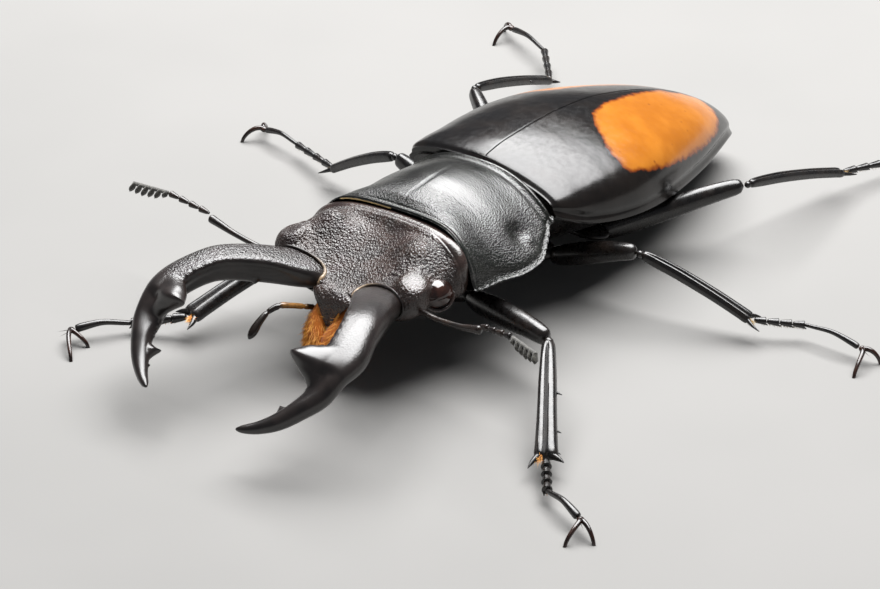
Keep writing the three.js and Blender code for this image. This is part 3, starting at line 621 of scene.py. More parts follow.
def solid_mesh(name, shape):
    """A mesh of the shape in metres, with its marks and with its faces turned outwards."""
    mesh = bpy.data.meshes.new(name)
    mesh.from_pydata(((shape.points + OFFSET) * MM).tolist(), [], shape.faces)
    for mark, values in shape.marks.items():
        layer = mesh.attributes.new(mark, "FLOAT", "POINT")
        layer.data.foreach_set("value", np.asarray(values, np.float32))
    work = bmesh.new()
    work.from_mesh(mesh)
    bmesh.ops.recalc_face_normals(work, faces=work.faces)
    work.to_mesh(mesh)
    work.free()
    return mesh


def shown(name, data):
    thing = bpy.data.objects.new(name, data)
    bpy.context.scene.collection.objects.link(thing)
    return thing


def soften(mesh, crease):
    mesh.shade_smooth()
    mesh.set_sharp_from_angle(angle=math.radians(crease))


def piece(name, shape, finish, slot, *nodes, crease=40):
    """A mesh object of the shape that rides on the body and stands for the named nodes."""
    mesh = solid_mesh(name, shape)
    soften(mesh, crease)
    mesh.materials.append(FINISH[finish])
    thing = shown(name, mesh)
    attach(thing, "root")
    if nodes:
        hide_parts(*nodes)
    return thing


def cut(thing, cutters):
    """Cuts closed shapes out of a piece, and keeps its smooth faces."""
    for number, cutter in enumerate(cutters):
        tool = shown(f"cutter_{number}", solid_mesh("cutter", cutter.marked()))
        step = thing.modifiers.new("cut", "BOOLEAN")
        step.object = tool
        step.solver = "EXACT"
        graph = bpy.context.evaluated_depsgraph_get()
        result = bpy.data.meshes.new_from_object(thing.evaluated_get(graph))
        thing.modifiers.clear()
        thing.data = result
        bpy.data.objects.remove(tool)
    soften(thing.data, CUT_CREASE)


# ---- head


def head_relief(x, y):
    across = np.abs(x)
    brow = 1.15 * bell(across, 5.4, 2.0) * bell(y, -14.5, 1.5)
    cheek = 1.7 * bell(across, 7.8, 1.4) * bell(y, -17.7, 1.3)
    return brow + cheek


def head_section(x, y, grow=0.0):
    """Half width at y, and the top and bottom of the head at x."""
    _, width, middle, crest, side, below = curve_at(HEAD, y).T
    out = np.clip(np.abs(x) / (width + grow), 0, 1)
    lift = np.sqrt(1 - out ** 2)
    crown = middle + (crest - middle) * smoothstep(out, 0.1, 0.75) + head_relief(x, y) + grow
    lean = THORAX_LEAN * smoothstep(y, -15.5, -12.3) * x
    fullness = 0.7 - 0.2 * smoothstep(y, -14.5, -12)
    top = side + (crown - side) * lift ** fullness
    across, ahead = np.abs(x) - CHEEK[0], y - CHEEK[1]
    plate = 11.3 - 0.3 * across + 0.15 * ahead
    share = 1 - smoothstep(np.hypot(across, ahead), 0.8, 2.0)
    top = top + (plate - top) * share
    return width + grow, top + lean, side - (side - below + grow) * lift ** 0.8 + lean


def head_shape(sections=190, sides=260):
    y = np.linspace(HEAD[0][0], HEAD[-1][0], sections)
    angle = circle(sides)
    grid_y = np.repeat(y[:, None], sides, axis=1)
    width = curve_at(HEAD, y)[:, 1:2]
    x = np.cos(angle) * width
    _, top, bottom = head_section(x.ravel(), grid_y.ravel())
    upper = (np.sin(angle) >= 0)[None, :]
    z = np.where(upper, top.reshape(x.shape), bottom.reshape(x.shape))
    lift = np.abs(np.sin(angle))[None, :]
    joint = grid_y + FRONT_SWEEP * np.cos(angle) ** 2
    collar = 0.12 * smoothstep(joint, -12.8, -12.1) - 0.04 * bell(joint, -12.05, 0.07)
    collar = collar + 0.06 * smoothstep(joint, -12.0, -11.6) - 0.39 * smoothstep(joint, -11.3, -10.7)
    collar = collar + 0.2 * smoothstep(joint, -13.6, -11.8) * np.cos(angle) ** 2
    front = 0.18 * bell(grid_y, -19.7, 0.22) * np.where(upper, lift, 0)
    hollow = -0.2 * bell(np.abs(x), 0, 2.6) * bell(grid_y, -15.4, 1.8)
    across, ahead = np.abs(x) - CHEEK[0], grid_y - CHEEK[1]
    ray = 26 * np.arctan2(across, ahead) + 1.5 * np.sin(2.1 * ahead) + 1.1 * np.sin(3.1 * across)
    ruts = 0.035 * np.sin(ray) * bell(np.hypot(across, ahead), 2.4, 1.1)
    rings = raised(np.stack([x, grid_y, z], -1), np.where(upper, collar + front + hollow + ruts, collar))
    smooth_back = 0.8 * smoothstep(joint, -12.5, -12.1)
    smooth_hollow = 0.75 * bell(x, 1.0, 3.0) * bell(grid_y, -13.4, 1.0)
    smooth_cheek = 0.6 * bell(np.hypot(across, ahead), 0, 1.3)
    grain = np.clip(1 - smooth_back - smooth_hollow - smooth_cheek, 0.05, 1) * np.where(upper, 1, 0.5)
    return skin(rings, grain=grain)


def mandible_section(angle, place):
    turned = signed(angle)
    fade = (1 - smoothstep(place, 6.0, 7.5)) * np.minimum(1, place / 2)
    ridge = 0.42 * bell(turned, 0.6, 0.38) * fade
    flat = 0.3 * bell(turned, -0.15, 0.55) * fade
    crest = MAIN_TOOTH[0] - 0.15 * np.maximum(turned - MAIN_TOOTH[1], 0)
    behind = smoothstep(place, crest - 0.05, crest + 0.3)
    lifted = 0.25 * smoothstep(place, 3.5, 5.3) * (1 - behind)
    lowered = 0.3 * behind * (1 - smoothstep(place, 6.6, 8.2))
    step = (lifted - lowered) * bell(turned, 1.25, 0.75) - 0.12 * bell(turned, 1.6, 0.5) * fade
    saw = 0.08 * np.abs(np.sin(place * 8.5)) * bell(turned, 0.68, 0.12) * fade * smoothstep(place, 2.5, 3.2)
    teeth = sum(
        reach * peak(place, at, before, after) ** 1.5 * smoothstep(peak(turned, middle, below, above), 0, 1.1)
        for at, middle, reach, before, after, above, below in (MAIN_TOOTH, TIP_TOOTH, ROOT_TOOTH, *DENTICLES)
    )
    return ridge - flat + step + saw + teeth


def mandible_shape(side, grow=0.0, steps=420, sides=96):
    shape = limb(MANDIBLE, steps, sides, mandible_section, start=0.5, end=0.12, grow=grow)
    place = shape.marks["place"]
    turned = signed(shape.marks["turn"])
    above = smoothstep(turned, 0.45, 0.9) * (1 - smoothstep(np.abs(turned), 2.9, 3.1))
    outer = 0.55 * smoothstep(np.abs(turned), 2.2, 2.9)
    rubbed = 0.3 if side > 0 else 1.0
    grain = rubbed * np.clip((above + outer) * (1 - smoothstep(place, 4.6, 5.9)), 0, 1)
    return shape.marked(grain=grain).on(side)


def socket_rim(side):
    """The pale bead where the head's front ends round the root of a mandible."""
    steps, around = 260, 90
    grown = limb(MANDIBLE, steps, around, mandible_section, grow=SOCKET_GAP + 0.06)
    x, y, z = grown.points[:-2].T
    _, top, bottom = head_section(x, y)
    inside = (z < top) & (z > bottom) & (y > HEAD[0][0]) & (np.abs(x) < curve_at(HEAD, y)[:, 1])
    leave = steps - 1 - np.argmax(inside.reshape(steps, around)[::-1], axis=0)
    line = grown.points[:-2].reshape(steps, around, 3)[leave, np.arange(around)]
    for _ in range(3):
        line = (np.roll(line, 1, 0) + 2 * line + np.roll(line, -1, 0)) / 4
    upper = line[line[:, 2] > JAW_SOCKET[1]]
    order = np.argsort(np.arctan2(upper[:, 2] - JAW_SOCKET[1], -(upper[:, 0] - JAW_SOCKET[0])))
    path = upper[order]
    inner = 1 - smoothstep(np.linspace(0, 1, len(path)), 0.04, 0.3)
    size = 0.12 + 0.12 * inner + 0.03 * rng.random(len(path))
    shape = limb(np.column_stack([path, size, size]), 200, 10, start=0.2, end=0.2, up=(0, 1, 0.2))
    shape.marked(tint=1 - smoothstep(shape.marks["place"] / len(path), 0.08, 0.5))
    knob = ellipsoid(path[0] + np.array([0.1, -0.1, -0.15]), [0.34, 0.3, 0.34], 24, 16).marked(tint=0.8)
    return (shape + knob).on(side)


def canthus(side):
    """The polished ridge that runs round the front and the underside of an eye."""
    out = unit(np.array([0.8, -0.35, 0.45]))
    forward = unit(np.cross(out, UP))
    down = np.cross(out, forward)
    rows = []
    for degrees in np.linspace(-75, 175, 12):
        a = math.radians(degrees)
        point = EYE_CENTRE + 0.25 * out + 1.62 * (math.cos(a) * forward + math.sin(a) * down)
        size = 0.24 - 0.08 * abs(degrees - 40) / 130
        rows.append([*point, size, size])
    return limb(rows, 90, 14, start=0.4, end=0.4, up=out).marked(grain=0.25).on(side)


def make_head():
    head = piece("head_shell", head_shape(), "head", "head_shell", "head")
    cut(head, [mandible_shape(side, grow=SOCKET_GAP, steps=120, sides=40) for _, side in SIDES])
    for name, side in SIDES:
        x, y, z = EYE_CENTRE
        piece(f"mandible_{name}_horn", mandible_shape(side), "mandible", "mandible", f"mandible_{name}")
        piece(f"eye_{name}_ball", ellipsoid([side * x, y, z], EYE_RADII, 64, 40), "eye", "eye", f"eye_{name}")
        piece(f"canthus_{name}", canthus(side), "head", "head_shell")
        piece(f"socket_rim_{name}", socket_rim(side), "rim", "head_shell")


def make_mouth():
    def lip_section(angle, place):
        groove = 0.12 * bell(np.abs(np.cos(angle)), 0, 0.35) * smoothstep(place, 1, 2)
        return 0.05 * np.cos(2 * angle) - groove

    lip = limb([[0, -19.4, 8.2, 2.1, 0.6], *CLYPEUS], 110, 60, lip_section, start=0.15, end=0.15)
    piece("lip_plate", lip.marked(grain=0.9), "head", "head_shell", "clypeus")
    lobes = []
    roots, tips = [], []
    for side, rows in ((1, BRUSH), (-1, mirrored(BRUSH))):
        lobes.append(limb(rows, 40, 24, start=0.3, end=0.2, up=(0, 1, 0)).marked(tint=0.1, tip=0.0))
        place = rng.uniform(0.1, len(rows) - 1, LOBE_HAIR[0])
        here = curve(rows, place)
        around = unit(rng.normal(size=(len(here), 3)) * np.array([1, 1, 0.15]))
        root = here[:, :3] + around * here[:, 3:5][:, [0, 1, 1]] * 0.85
        droop = np.array([-0.3 * side, -0.35, -1.0]) + 0.9 * around + rng.normal(0, 0.3, (len(here), 3))
        roots.append(root)
        tips.append(root + unit(droop) * rng.uniform(0.45, 0.95, (len(here), 1)))
    fur = hairs(np.concatenate(roots), np.concatenate(tips), LOBE_HAIR[1])
    piece("mouth_bristles", total([*lobes, fur]), "brush", "mouth_brush", "mouth_brush")
    count, radius = LIP_HAIR
    place = rng.uniform(2.5, 5, count)
    here = curve(CLYPEUS, place)
    side = rng.choice([-1, 1], count)
    root = here[:, :3] + np.stack([side * here[:, 3] * 0.9, -0.2 + 0 * side, 0 * side], -1)
    out, ahead = side * rng.uniform(0.0, 0.25, count), rng.normal(-0.1, 0.1, count)
    tip = root + np.stack([out, ahead, -rng.uniform(0.25, 0.5, count)], -1)
    piece("lip_bristles", hairs(root, tip, radius), "brush", "mouth_brush")


def palp_section(angle, place):
    """The palp narrows where its joints meet."""
    return -0.09 * (bell(place, 0.9, 0.1) + bell(place, 3.0, 0.1) + bell(place, 4.1, 0.1))


def scape_rows(root, elbow):
    rows = []
    waist = ((0, 1, 0), (0.3, 1, 0.4), (0.65, 1.05, 0.35), (0.88, 1.4, 0.1), (0.97, 1.5, 0), (1, 0.8, 0))
    for share, half, drop in waist:
        x, y, z = between(root, elbow, share)
        rows.append([x, y, z - drop, half * FEELER_HALF, half * FEELER_HALF])
    return rows


def bead(start, end, number, size, profile, steps, sides, rounding):
    """One of four beads in a row from start to end; the profile gives share, half width and half height."""
    rows = [
        [*between(start, end, (number + share) / 4), half * size, tall * size]
        for share, half, tall in profile
    ]
    return limb(rows, steps, sides, start=rounding[0], end=rounding[1])


FUNICLE_BEAD = ((0.03, 0.5, 0.5), (0.2, 0.8, 0.8), (0.6, 1.1, 1.1), (0.85, 1.2, 1.2), (0.97, 0.7, 0.7))
TARSUS_BEAD = ((0.02, 0.6, 0.6), (0.3, 0.8, 0.8), (0.7, 1.0, 0.95), (0.92, 1.1, 1.05), (0.99, 0.85, 0.85))
# Share of the reach, half width and half height
LAMELLA = ((-0.3, 0.12, 0.20), (0.3, 0.17, 0.30), (1.0, 0.20, 0.36), (1.75, 0.12, 0.2))


def make_feeler(name, side):
    root, elbow, club, tip = (np.array(p) for p in FEELERS[name])
    scape = limb(scape_rows(root, elbow), 80, 20, end=0.25)
    piece(f"scape_{name}_horn", scape, "feeler", "feeler", f"scape_{name}")
    start = elbow + 0.5 * UP
    beads = [bead(start, club, b, FEELER_HALF, FUNICLE_BEAD, 26, 18, (0.12, 0.15)) for b in range(4)]
    core = limb([[*between(start, club, s), 0.14, 0.14] for s in (0, 0.5, 1)], 8, 10)
    piece(f"funicle_{name}_beads", total([*beads, core]), "feeler", "feeler", f"funicle_{name}")
    lean = unit(np.array([-side * LAMELLA_LEAN[0], *LAMELLA_LEAN[1:]]))
    along = unit(tip - club)
    leaves = []
    for k in range(LAMELLAE):
        reach = LAMELLA_REACH * (0.6 if k == 0 else 1 - 0.06 * abs(k - 3))
        middle = between(club, tip, (k + 0.5) / LAMELLAE)
        rows = [[*(middle + lean * share * reach), half, tall] for share, half, tall in LAMELLA]
        leaves.append(limb(rows, 30, 22, start=0.12, end=0.3, up=np.cross(lean, along)))
    stalk = limb([[*between(club, tip, s), 0.2, 0.2] for s in (0.02, 0.5, 0.96)], 20, 14, start=0.1, end=0.1)
    fuzz_root, fuzz_tip = [], []
    for leaf in leaves:
        picks = leaf.points[rng.integers(0, len(leaf.points), LEAF_HAIR[0])]
        fuzz_root.append(picks)
        slant = along * rng.normal(0, 0.03, (LEAF_HAIR[0], 1))
        fuzz_tip.append(picks + unit(picks - leaf.points.mean(0)) * 0.09 + slant)
    fuzz = hairs(np.concatenate(fuzz_root), np.concatenate(fuzz_tip), LEAF_HAIR[1])
    piece(f"club_{name}_leaves", total([*leaves, stalk, fuzz]), "club", "club", f"club_{name}")


def make_palps():
    for name, _ in SIDES:
        palp = limb(PALPS[name], 120, 18, palp_section, start=0.15, end=0.35)
        place = palp.marks["place"]
        palp.marked(tint=smoothstep(place, 0.6, 1.1) * (1 - smoothstep(place, 2.6, 3.1)))
        piece(f"palp_{name}_joints", palp, "palp", "feeler", f"palp_{name}")


# ---- thorax, wing cases and belly


def pronotum_shape(sections=200, sides=320):
    t = np.linspace(0, len(PRONOTUM) - 1, sections)
    y, width, crown, edge, below, fullness = columns(curve(PRONOTUM, t))
    angle = circle(sides)
    out = np.abs(np.cos(angle))[None, :]
    lift = np.abs(np.sin(angle))[None, :]
    upper = (np.sin(angle) >= 0)[None, :]
    x = np.cos(angle) * width
    back, breast = edge + (crown - edge) * (1 - out ** fullness), edge - (edge - below) * lift ** BELLY_KEEL
    z = np.where(upper, back, breast)
    sweep = FRONT_SWEEP * smoothstep(-y, 8.5, -PRONOTUM[0][0])
    rings = np.stack([x, y - sweep * np.cos(angle) ** 2, z + THORAX_LEAN * x], -1)
    from_side = (1 - out) * width
    front, rear = y - PRONOTUM[0][0], PRONOTUM[-1][0] - y
    ends = 0.07 * bell(front, 0.18, 0.10) - 0.04 * bell(front, 0.45, 0.12)
    ends = ends + 0.20 * bell(rear, 0.32, 0.22) - 0.14 * bell(rear, 1.0, 0.35)
    bead = 0.10 * bell(from_side, 0.0, 0.05) - 0.12 * bell(from_side, 0.32, 0.22)
    crenels = 0.05 * np.sin(y * 11) * bell(from_side, 0.0, 0.08)
    middle = -0.04 * bell(x, 0, 0.12) * smoothstep(front, 0.5, 1.5) * smoothstep(rear, 0.6, 1.6)
    pits = -0.45 * bell(np.abs(x), 9.3, 1.0) * bell(y, -4.6, 1.3)
    pits = pits + 0.22 * bell(np.abs(x), 9.9, 0.4) * bell(y, -3.9, 0.5)
    dome = 0.4 * bell(x, -0.5, 4.5) * smoothstep(front, 0.2, 1.6) * smoothstep(rear, 0.5, 3.0)
    dome = dome + 0.15 * bell(y, -8.8, 2.0)
    height = np.where(upper, ends + bead + crenels + middle + pits + dome, 0.4 * ends)
    seams = -0.12 * bell(np.abs(x), 5.2 + 0.25 * (y + 6), 0.25) * np.where(upper, 0, 1)
    rings = raised(rings, height + seams)
    disc = bell(x / 6.6, 0, 1) * bell((y + 5.2) / 4.6, 0, 1)
    grain = np.clip(1.15 - 1.25 * disc, 0.06, 1) * np.where(upper, 1, 0.4)
    grain = grain * (1 - 0.8 * bell(rear, 0.25, 0.3)) * (1 - 0.7 * bell(front, 0.25, 0.25))
    hub = np.array([0, 0, 9.5])
    spoke = (rings[0] - hub) * np.array([1, 0, 1])
    lining = np.stack([
        rings[0] - unit(spoke) * inset + np.array([0, deep, 0])
        for deep, inset in ((1.6, 0.34), (0.8, 0.32), (0.3, 0.26), (0.1, 0.16))
    ])
    return skin(np.concatenate([lining, rings]), grain=np.concatenate([np.zeros(lining.shape[:2]), grain]))


def front_fringe():
    """Short golden hairs that reach from under the pronotum's front edge onto the head."""
    count, radius = FRINGE_HAIR
    x = rng.uniform(-6.8, -0.8, count)
    _, width, crown, edge, _, fullness = PRONOTUM[0]
    z = edge + (crown - edge) * (1 - (np.abs(x) / width) ** fullness) + THORAX_LEAN * x
    roots = np.stack([x, -11.2 - FRONT_SWEEP * (x / width) ** 2, z - rng.uniform(0.0, 0.1, count)], -1)
    out, ahead = rng.normal(0, 0.03, count), -rng.uniform(0.16, 0.24, count)
    return hairs(roots, roots + np.stack([out, ahead, rng.normal(0, 0.02, count)], -1), radius)


def shell_depth(width, crown, edge):
    return np.minimum(np.minimum(SHELL, width * 0.4), (crown - edge) * 0.6 + 0.1)


# The orange patch of each wing case. Its front edge is given as [across, y], its inner edge beside the suture
# as [y, across], and its outer edge as [y, distance along the shell from the side edge].
PATCH = {
    "left": {
        "front": [[0, 16.5], [1.6, 14.6], [2.6, 13.4], [4.3, 12.0], [6.2, 10.8], [7.7, 10.2], [9.2, 10.2],
                  [10.5, 11.0]],
        "inner": [[13, 2.5], [16, 1.65], [21, 0.8], [25.5, 0.3], [36, 0.15]],
    },
    "right": {
        "front": [[0, 19.5], [3.0, 17.5], [5.0, 15.5], [7.7, 13.8], [9.2, 13.4], [10.5, 13.8]],
        "inner": [[14, 4.8], [20, 3.4], [24, 2.2], [28, 1.0], [31, 0.4], [36, 0.2]],
    },
}
PATCH_MARGIN = [[10, 4.4], [15, 3.3], [18.6, 2.7], [24.7, 2.1], [30.8, 1.8], [33, 2.0]]
PATCH_END = 32.3


def orange_field(name, across, y, from_edge):
    """0.5 on the patch's edge, more inside and less outside."""
    ahead = y - np.interp(across, *np.transpose(PATCH[name]["front"]))
    beside = across - np.interp(y, *np.transpose(PATCH[name]["inner"]))
    outside = from_edge - np.interp(y, *np.transpose(PATCH_MARGIN))
    behind = PATCH_END - 0.2 * (across - 1.4) ** 2 - y
    near = np.minimum(np.minimum(ahead, beside), np.minimum(outside, behind))
    return 0.5 + 0.35 * np.clip(near, -1.4, 1.4)


def wing_back(angle):
    """Height over the side edge at an angle of the section, as a share of the height at the suture."""
    return np.abs(np.sin(angle)) ** WING_ROUNDNESS * (1 - WING_RIDGE * np.abs(np.cos(angle)))


def wing_case_shape(name, side, sections=260, steps=150, inner_steps=40):
    t = np.linspace(0, len(HIND_BODY) - 1, sections)
    y, width, crown, edge = columns(curve(HIND_BODY, t)[:, :4])
    depth = shell_depth(width, crown, edge)

    def arc(count, w, top, rim):
        angle = (math.pi / 2) * (1 - np.linspace(0, 1, count))[None, :]
        x = SUTURE_GAP + (w - SUTURE_GAP) * np.cos(angle)
        return np.stack([x, y + 0 * x, rim + (top - rim) * wing_back(angle)], -1)

    outer = arc(steps, width, crown, edge)
    inner = arc(inner_steps, width - depth, crown - depth, edge - 0.1)[:, ::-1]
    down = np.gradient(outer, axis=0)
    around = np.gradient(outer, axis=1)
    normal = unit(np.cross(down, around))
    normal = normal * np.sign(normal[sections // 2, steps // 2, 2])
    lengths = np.cumsum(np.linalg.norm(np.diff(outer, axis=1), axis=2), axis=1)
    run = np.concatenate([np.zeros((sections, 1)), lengths], axis=1)
    from_edge = run[:, -1:] - run
    bead = 0.14 * bell(from_edge, 0.22, 0.2) - 0.14 * bell(from_edge, 0.85, 0.35)
    seam = -0.02 * bell(run, 0.0, 0.05)
    base = -0.3 * bell(y, 0.4, 0.45)
    shrink = np.clip(width / 2.5, 0.15, 1)
    outer = outer + normal * ((bead + seam + base) * shrink)[..., None]
    rings = np.concatenate([outer, inner], axis=1) * np.array([side, 1, 1])
    field = np.zeros(rings.shape[:2])
    field[:, :steps] = orange_field(name, np.abs(rings[:, :steps, 0]), rings[:, :steps, 1], from_edge)
    return skin(rings, orange=field)


def trunk_shape(first, last, sections=160, sides=120):
    places = np.linspace(first, last, sections)
    y = places[:, None]
    _, width, crown, edge, below = columns(curve_at(HIND_BODY, places))
    inset = shell_depth(width, crown, edge) + GAP
    groove = sum(GROOVE * bell(y, ring, 0.3) for ring in BELLY_RINGS)
    angle = circle(sides)[None, :]
    lift = np.abs(np.sin(angle))
    wide, top, rim = width - inset, crown - inset, edge - 0.1 - GAP
    x = np.cos(angle) * wide
    under = np.sin(angle) < 0
    back, belly = rim + (top - rim) * wing_back(angle), rim - (rim - below - groove) * lift ** BELLY_KEEL
    z = np.where(under, belly, back)
    keel = 0.10 * bell(x, 0, 0.5) * under * smoothstep(-y, -13, -9)
    plates = -0.14 * bell(np.abs(x), 6.3 - 0.12 * np.abs(y - 7), 0.22) * under * (y < 13)
    return skin(raised(np.stack([x, y + 0 * x, z], -1), plates + keel))


def scutellum_shape():
    front, back, half, top, thick = SCUTELLUM.values()
    rings = []
    angle = circle(40)
    lift = np.abs(np.sin(angle))
    z = top - 0.15 + np.where(np.sin(angle) > 0, 0.22 * lift ** 0.7, -(thick - 0.2) * lift ** 0.5)
    for share in np.linspace(0, 1, 30):
        reach = half * (1 - share) ** 0.75 + 0.14
        x = reach * np.sign(np.cos(angle)) * np.abs(np.cos(angle)) ** 0.5
        rings.append(np.stack([x, np.full(len(x), front + (back - front) * share), z], -1))
    return skin(np.array(rings))


def make_body():
    piece("thorax_shield", pronotum_shape(), "pronotum", "pronotum_shell", "pronotum")
    piece("front_fringe", front_fringe(), "gold", "mouth_brush")
    piece("scutellum_plate", scutellum_shape(), "body", "body_shell", "scutellum")
    for name, side in SIDES:
        wing = wing_case_shape(name, side)
        piece(f"wing_case_{name}", wing, "wing", "wing_case", f"elytron_{name}", crease=60)
    piece("chest_plates", trunk_shape(*THORAX_SPAN), "body", "body_shell", "thorax")
    piece("belly_rings", trunk_shape(BELLY_RINGS[0], BELLY_RINGS[-1]), "body", "body_shell", "abdomen")


# ---- legs


def rows_between(start, end, size, rows):
    """Rows between two joints: share of the way, half width and height in sizes, and lift in millimetres."""
    result = []
    for share, half, tall, lift in rows:
        x, y, z = between(start, end, share)
        result.append([x, y, z + lift, half * size, tall * size])
    return result


def femur_shape(hip, knee, size):
    rows = rows_between(hip, knee, size, [
        [0, 0.55, 0.7, 0], [0.15, 0.75, 0.95, 0], [0.45, 0.85, 1, 0.15],
        [0.75, 0.75, 0.85, 0.2], [0.93, 0.6, 0.7, 0.1], [0.985, 0.35, 0.4, 0],
    ])

    def section(angle, place):
        ridge = 0.05 * bell(np.cos(angle - 2.2), 1, 0.12) + 0.05 * bell(np.cos(angle + 2.6), 1, 0.12)
        return ridge * smoothstep(place, 1, 2)

    return limb(rows, 110, 48, section, start=0.3, end=0.45)


def tibia_shapes(knee, ankle, sizes, side):
    size, tip = sizes["tibia"], sizes["tip"]
    rows = rows_between(knee, ankle, 1, [
        [0.035, 0.6 * size, 0.6 * size, 0],
        [0.1, 0.8 * size, 0.85 * size, 0.15],
        [0.35, size, 0.9 * size, 0.35],
        [0.65, 1.1 * size, 0.85 * size, 0.3],
        [0.88, 0.95 * tip, 0.8 * size, 0.1],
        [0.96, tip, 0.75 * size, 0],
        [0.985, 0.7 * tip, 0.5 * size, 0],
    ])

    def section(angle, place):
        keels = bell(angle, 0.95, 0.2) + 0.7 * bell(angle, 2.2, 0.4)
        keels = keels + bell(angle, 4.0, 0.3) + bell(angle, 5.4, 0.3)
        furrow = bell(angle, 1.45, 0.16)
        return size * (0.14 * keels - 0.3 * furrow - 0.05) * smoothstep(place, 0.4, 1.6)

    shin = limb(rows, 150, 48, section, start=0.35, end=0.2)
    along = unit(ankle - knee)
    outward = side * unit(np.array([-along[1], along[0], 0]))

    def at(share, out, ahead):
        return curve(rows, share * (len(rows) - 1))[0, :3] + outward * out + along * ahead

    thorns = [
        thorn(at(share, 0.5 * size, 0), at(share, 1.5 * size, 0.35), 0.24, bend=-0.08 * along)
        for share in sizes["spines"]
    ]
    spurs = [
        thorn(at(0.85, 0.4 * tip, 0), at(0.85, 1.4 * tip, 0.9), 0.36 * tip, bend=0.12 * outward),
        thorn(at(0.85, -0.5 * tip, 0), at(0.85, -1.4 * tip, 1.6), 0.32 * tip, bend=-0.12 * outward),
    ]
    knob = ellipsoid(between(knee, ankle, 0.02), [0.42 * size + 0.1] * 3, 24, 16)
    return total([shin, *thorns, *spurs, knob]), at


def tarsus_shape(ankle, fourth, fifth, size):
    start = between(ankle, fourth, 0.02)
    ahead = unit(fourth - start)
    across = unit(np.cross(ahead, UP))
    joints = []
    for s in range(4):
        joints.append(bead(start, fourth, s, size, TARSUS_BEAD, 30, 24, (0.15, 0.12)))
        for turn in (-1, 1):
            root = between(start, fourth, (s + 0.92) / 4) + turn * 0.6 * size * across - 0.5 * size * UP
            joints.append(thorn(root, root + 0.55 * size * ahead - 0.35 * size * UP, 0.3 * size))
    last = rows_between(fourth, fifth, size, [
        [0, 0.5, 0.5, 0], [0.15, 0.55, 0.55, 0.15], [0.5, 0.65, 0.65, 0.45], [0.85, 0.85, 0.85, 0.2],
        [0.97, 0.8, 0.8, 0],
    ])
    return total([*joints, limb(last, 60, 24, start=0.15, end=0.2)])


def claw_shapes(fourth, fifth, points):
    ahead = unit((fifth - fourth) * FLAT)
    across = np.array([-ahead[1], ahead[0], 0])
    start = fifth + ahead * 0.25
    root = ellipsoid(start, [0.36, 0.36, 0.3], 24, 16)
    hooks = []
    for point in points:
        sole = np.array([point[0], point[1], -CLAW["sink"]])
        reach = (sole - start) * FLAT
        hump = start + 0.5 * ahead + 0.2 * reach
        hump[2] = fifth[2] + CLAW["arch"]
        bend = sole - 0.08 * reach
        bend[2] = CLAW["bend"]
        t = np.linspace(0, 1, 7)[:, None]
        path = (1 - t) ** 3 * start + 3 * (1 - t) ** 2 * t * hump
        path = path + 3 * (1 - t) * t ** 2 * bend + t ** 3 * sole
        size = CLAW["half"] * (1 - 0.4 * t)
        hook = limb(np.hstack([path, size, size]), 50, 20, start=0.1)
        hook.points[:, 2] = np.maximum(hook.points[:, 2], 0)
        hooks.append(hook)
    roots = [start + across * s * 0.12 for s in (-1, 1)]
    tips = [start + across * s * 0.5 + ahead * 1.3 - 0.3 * UP for s in (-1, 1)]
    return total([root, *hooks, hairs(roots, tips, CLAW_HAIR_RADIUS).marked()])


def make_leg(name):
    kind, side_name = name.split("_")
    side = dict(SIDES)[side_name]
    sizes = LEG_SIZES[kind]
    hip, knee, ankle, fourth, fifth, *points = np.array(LEGS[name], float)
    (x, y, z), radii = COXAE[kind]
    shin, at = tibia_shapes(knee, ankle, sizes, side)
    for label, shape, look, node in (
        ("hip", ellipsoid([side * x, y, z], radii, 60, 36), "leg", "coxa"),
        ("thigh", femur_shape(hip, knee, sizes["femur"]), "leg", "femur"),
        ("shin", shin, "leg", "tibia"),
        ("foot", tarsus_shape(ankle, fourth, fifth, sizes["tarsus"]), "leg", "tarsus"),
        ("hooks", claw_shapes(fourth, fifth, points), "claw", "claws"),
    ):
        piece(f"{label}_{name}", shape, look, look, f"{node}_{name}")
    count = THICK_TUFT_HAIRS if name == "front_right" else TUFT_HAIRS
    along = unit(ankle - knee)
    roots = at(0.9, -0.55 * sizes["tip"], 0.1) + rng.normal(0, 0.13 * sizes["tip"], (count, 3))
    tips = roots + along * rng.uniform(0.35, 0.7, (count, 1)) + rng.normal(0, 0.12, (count, 3))
    count = PAD_HAIRS
    pads = between(between(ankle, fourth, 0.15), fourth, rng.random((count, 1))) - 0.8 * sizes["tarsus"] * UP
    pad_tips = pads + along * 0.15 + rng.normal(0, 0.07, (count, 3)) - 0.15 * UP
    pad_tips[:, 2] = np.maximum(pad_tips[:, 2], 0.02)
    tuft = hairs(np.concatenate([roots, pads]), np.concatenate([tips, pad_tips]), LEG_HAIR_RADIUS)
    piece(f"tuft_{name}", tuft, "gold" if kind != "front" else "brush", "mouth_brush")


make_head()
make_mouth()
make_palps()
for feeler_name, feeler_side in SIDES:
    make_feeler(feeler_name, feeler_side)
make_body()
for leg_name in LEGS:
    make_leg(leg_name)

# ---- floor, camera and light

STUDIO = bpy.context.scene
FLOOR_HALF = 3              # metres


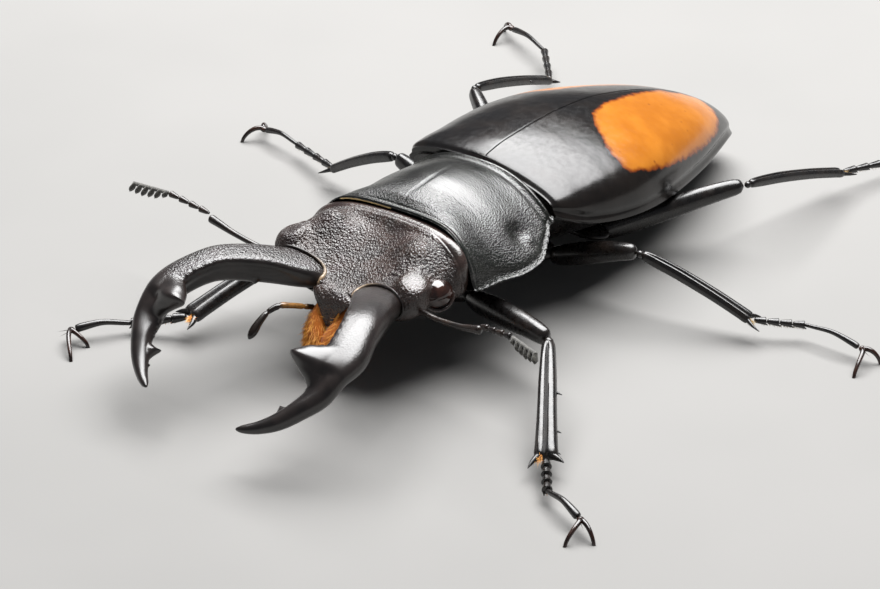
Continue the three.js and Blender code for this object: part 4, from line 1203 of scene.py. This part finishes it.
def facing(target, way, distance, roll):
    """The place and turn of a thing that looks at the target, which is given in millimetres, from way."""
    turn = way.to_track_quat("Z", "Y").to_matrix().to_4x4() @ Matrix.Rotation(math.radians(roll), 4, "Z")
    place = Vector((np.asarray(target, float) + OFFSET) * MM) + way * distance * MM
    return Matrix.Translation(place) @ turn


def add_floor():
    h = FLOOR_HALF
    mesh = bpy.data.meshes.new("floor")
    mesh.from_pydata([(-h, -h, 0), (h, -h, 0), (h, h, 0), (-h, h, 0)], [], [(0, 1, 2, 3)])
    mesh.materials.append(FINISH["floor"])
    shown("floor", mesh)


def add_camera(target, azimuth, elevation, roll, distance, lens):
    """Looks at the target from azimuth degrees round to the left of the head, and elevation degrees up."""
    turn, rise = math.radians(azimuth), math.radians(elevation)
    back = Vector((math.cos(rise) * math.sin(turn), -math.cos(rise) * math.cos(turn), math.sin(rise)))
    data = bpy.data.cameras.new("camera")
    data.lens = lens
    data.sensor_width = 36
    data.clip_start = 0.01
    STUDIO.camera = shown("camera", data)
    STUDIO.camera.matrix_world = facing(target, back, distance, roll)


def add_softbox(name, target, direction, distance, size, roll, power):
    """A rectangle of light of the given size in millimetres and power in watts."""
    data = bpy.data.lights.new(name, "AREA")
    data.shape = "RECTANGLE"
    data.size, data.size_y = size[0] * MM, size[1] * MM
    data.energy = power
    shown(name, data).matrix_world = facing(target, Vector(direction).normalized(), distance, roll)


def add_sky(colour, strength):
    STUDIO.world = bpy.data.worlds.new("studio")
    STUDIO.world.use_nodes = True
    sky = STUDIO.world.node_tree.nodes["Background"].inputs
    sky["Color"].default_value = (*colour, 1)
    sky["Strength"].default_value = strength


add_floor()
add_camera((-0.32, -5.27, 1.62), azimuth=42.4, elevation=29.94, roll=-0.91, distance=465.36, lens=201.2)
add_softbox(
    "window", (0, 0, 8), direction=(-0.158, 0.348, 0.924), distance=330, size=(415, 290), roll=-18, power=5.7,
)
add_sky((0.9, 0.93, 1.0), 0.15)
STUDIO.view_settings.view_transform = "Standard"
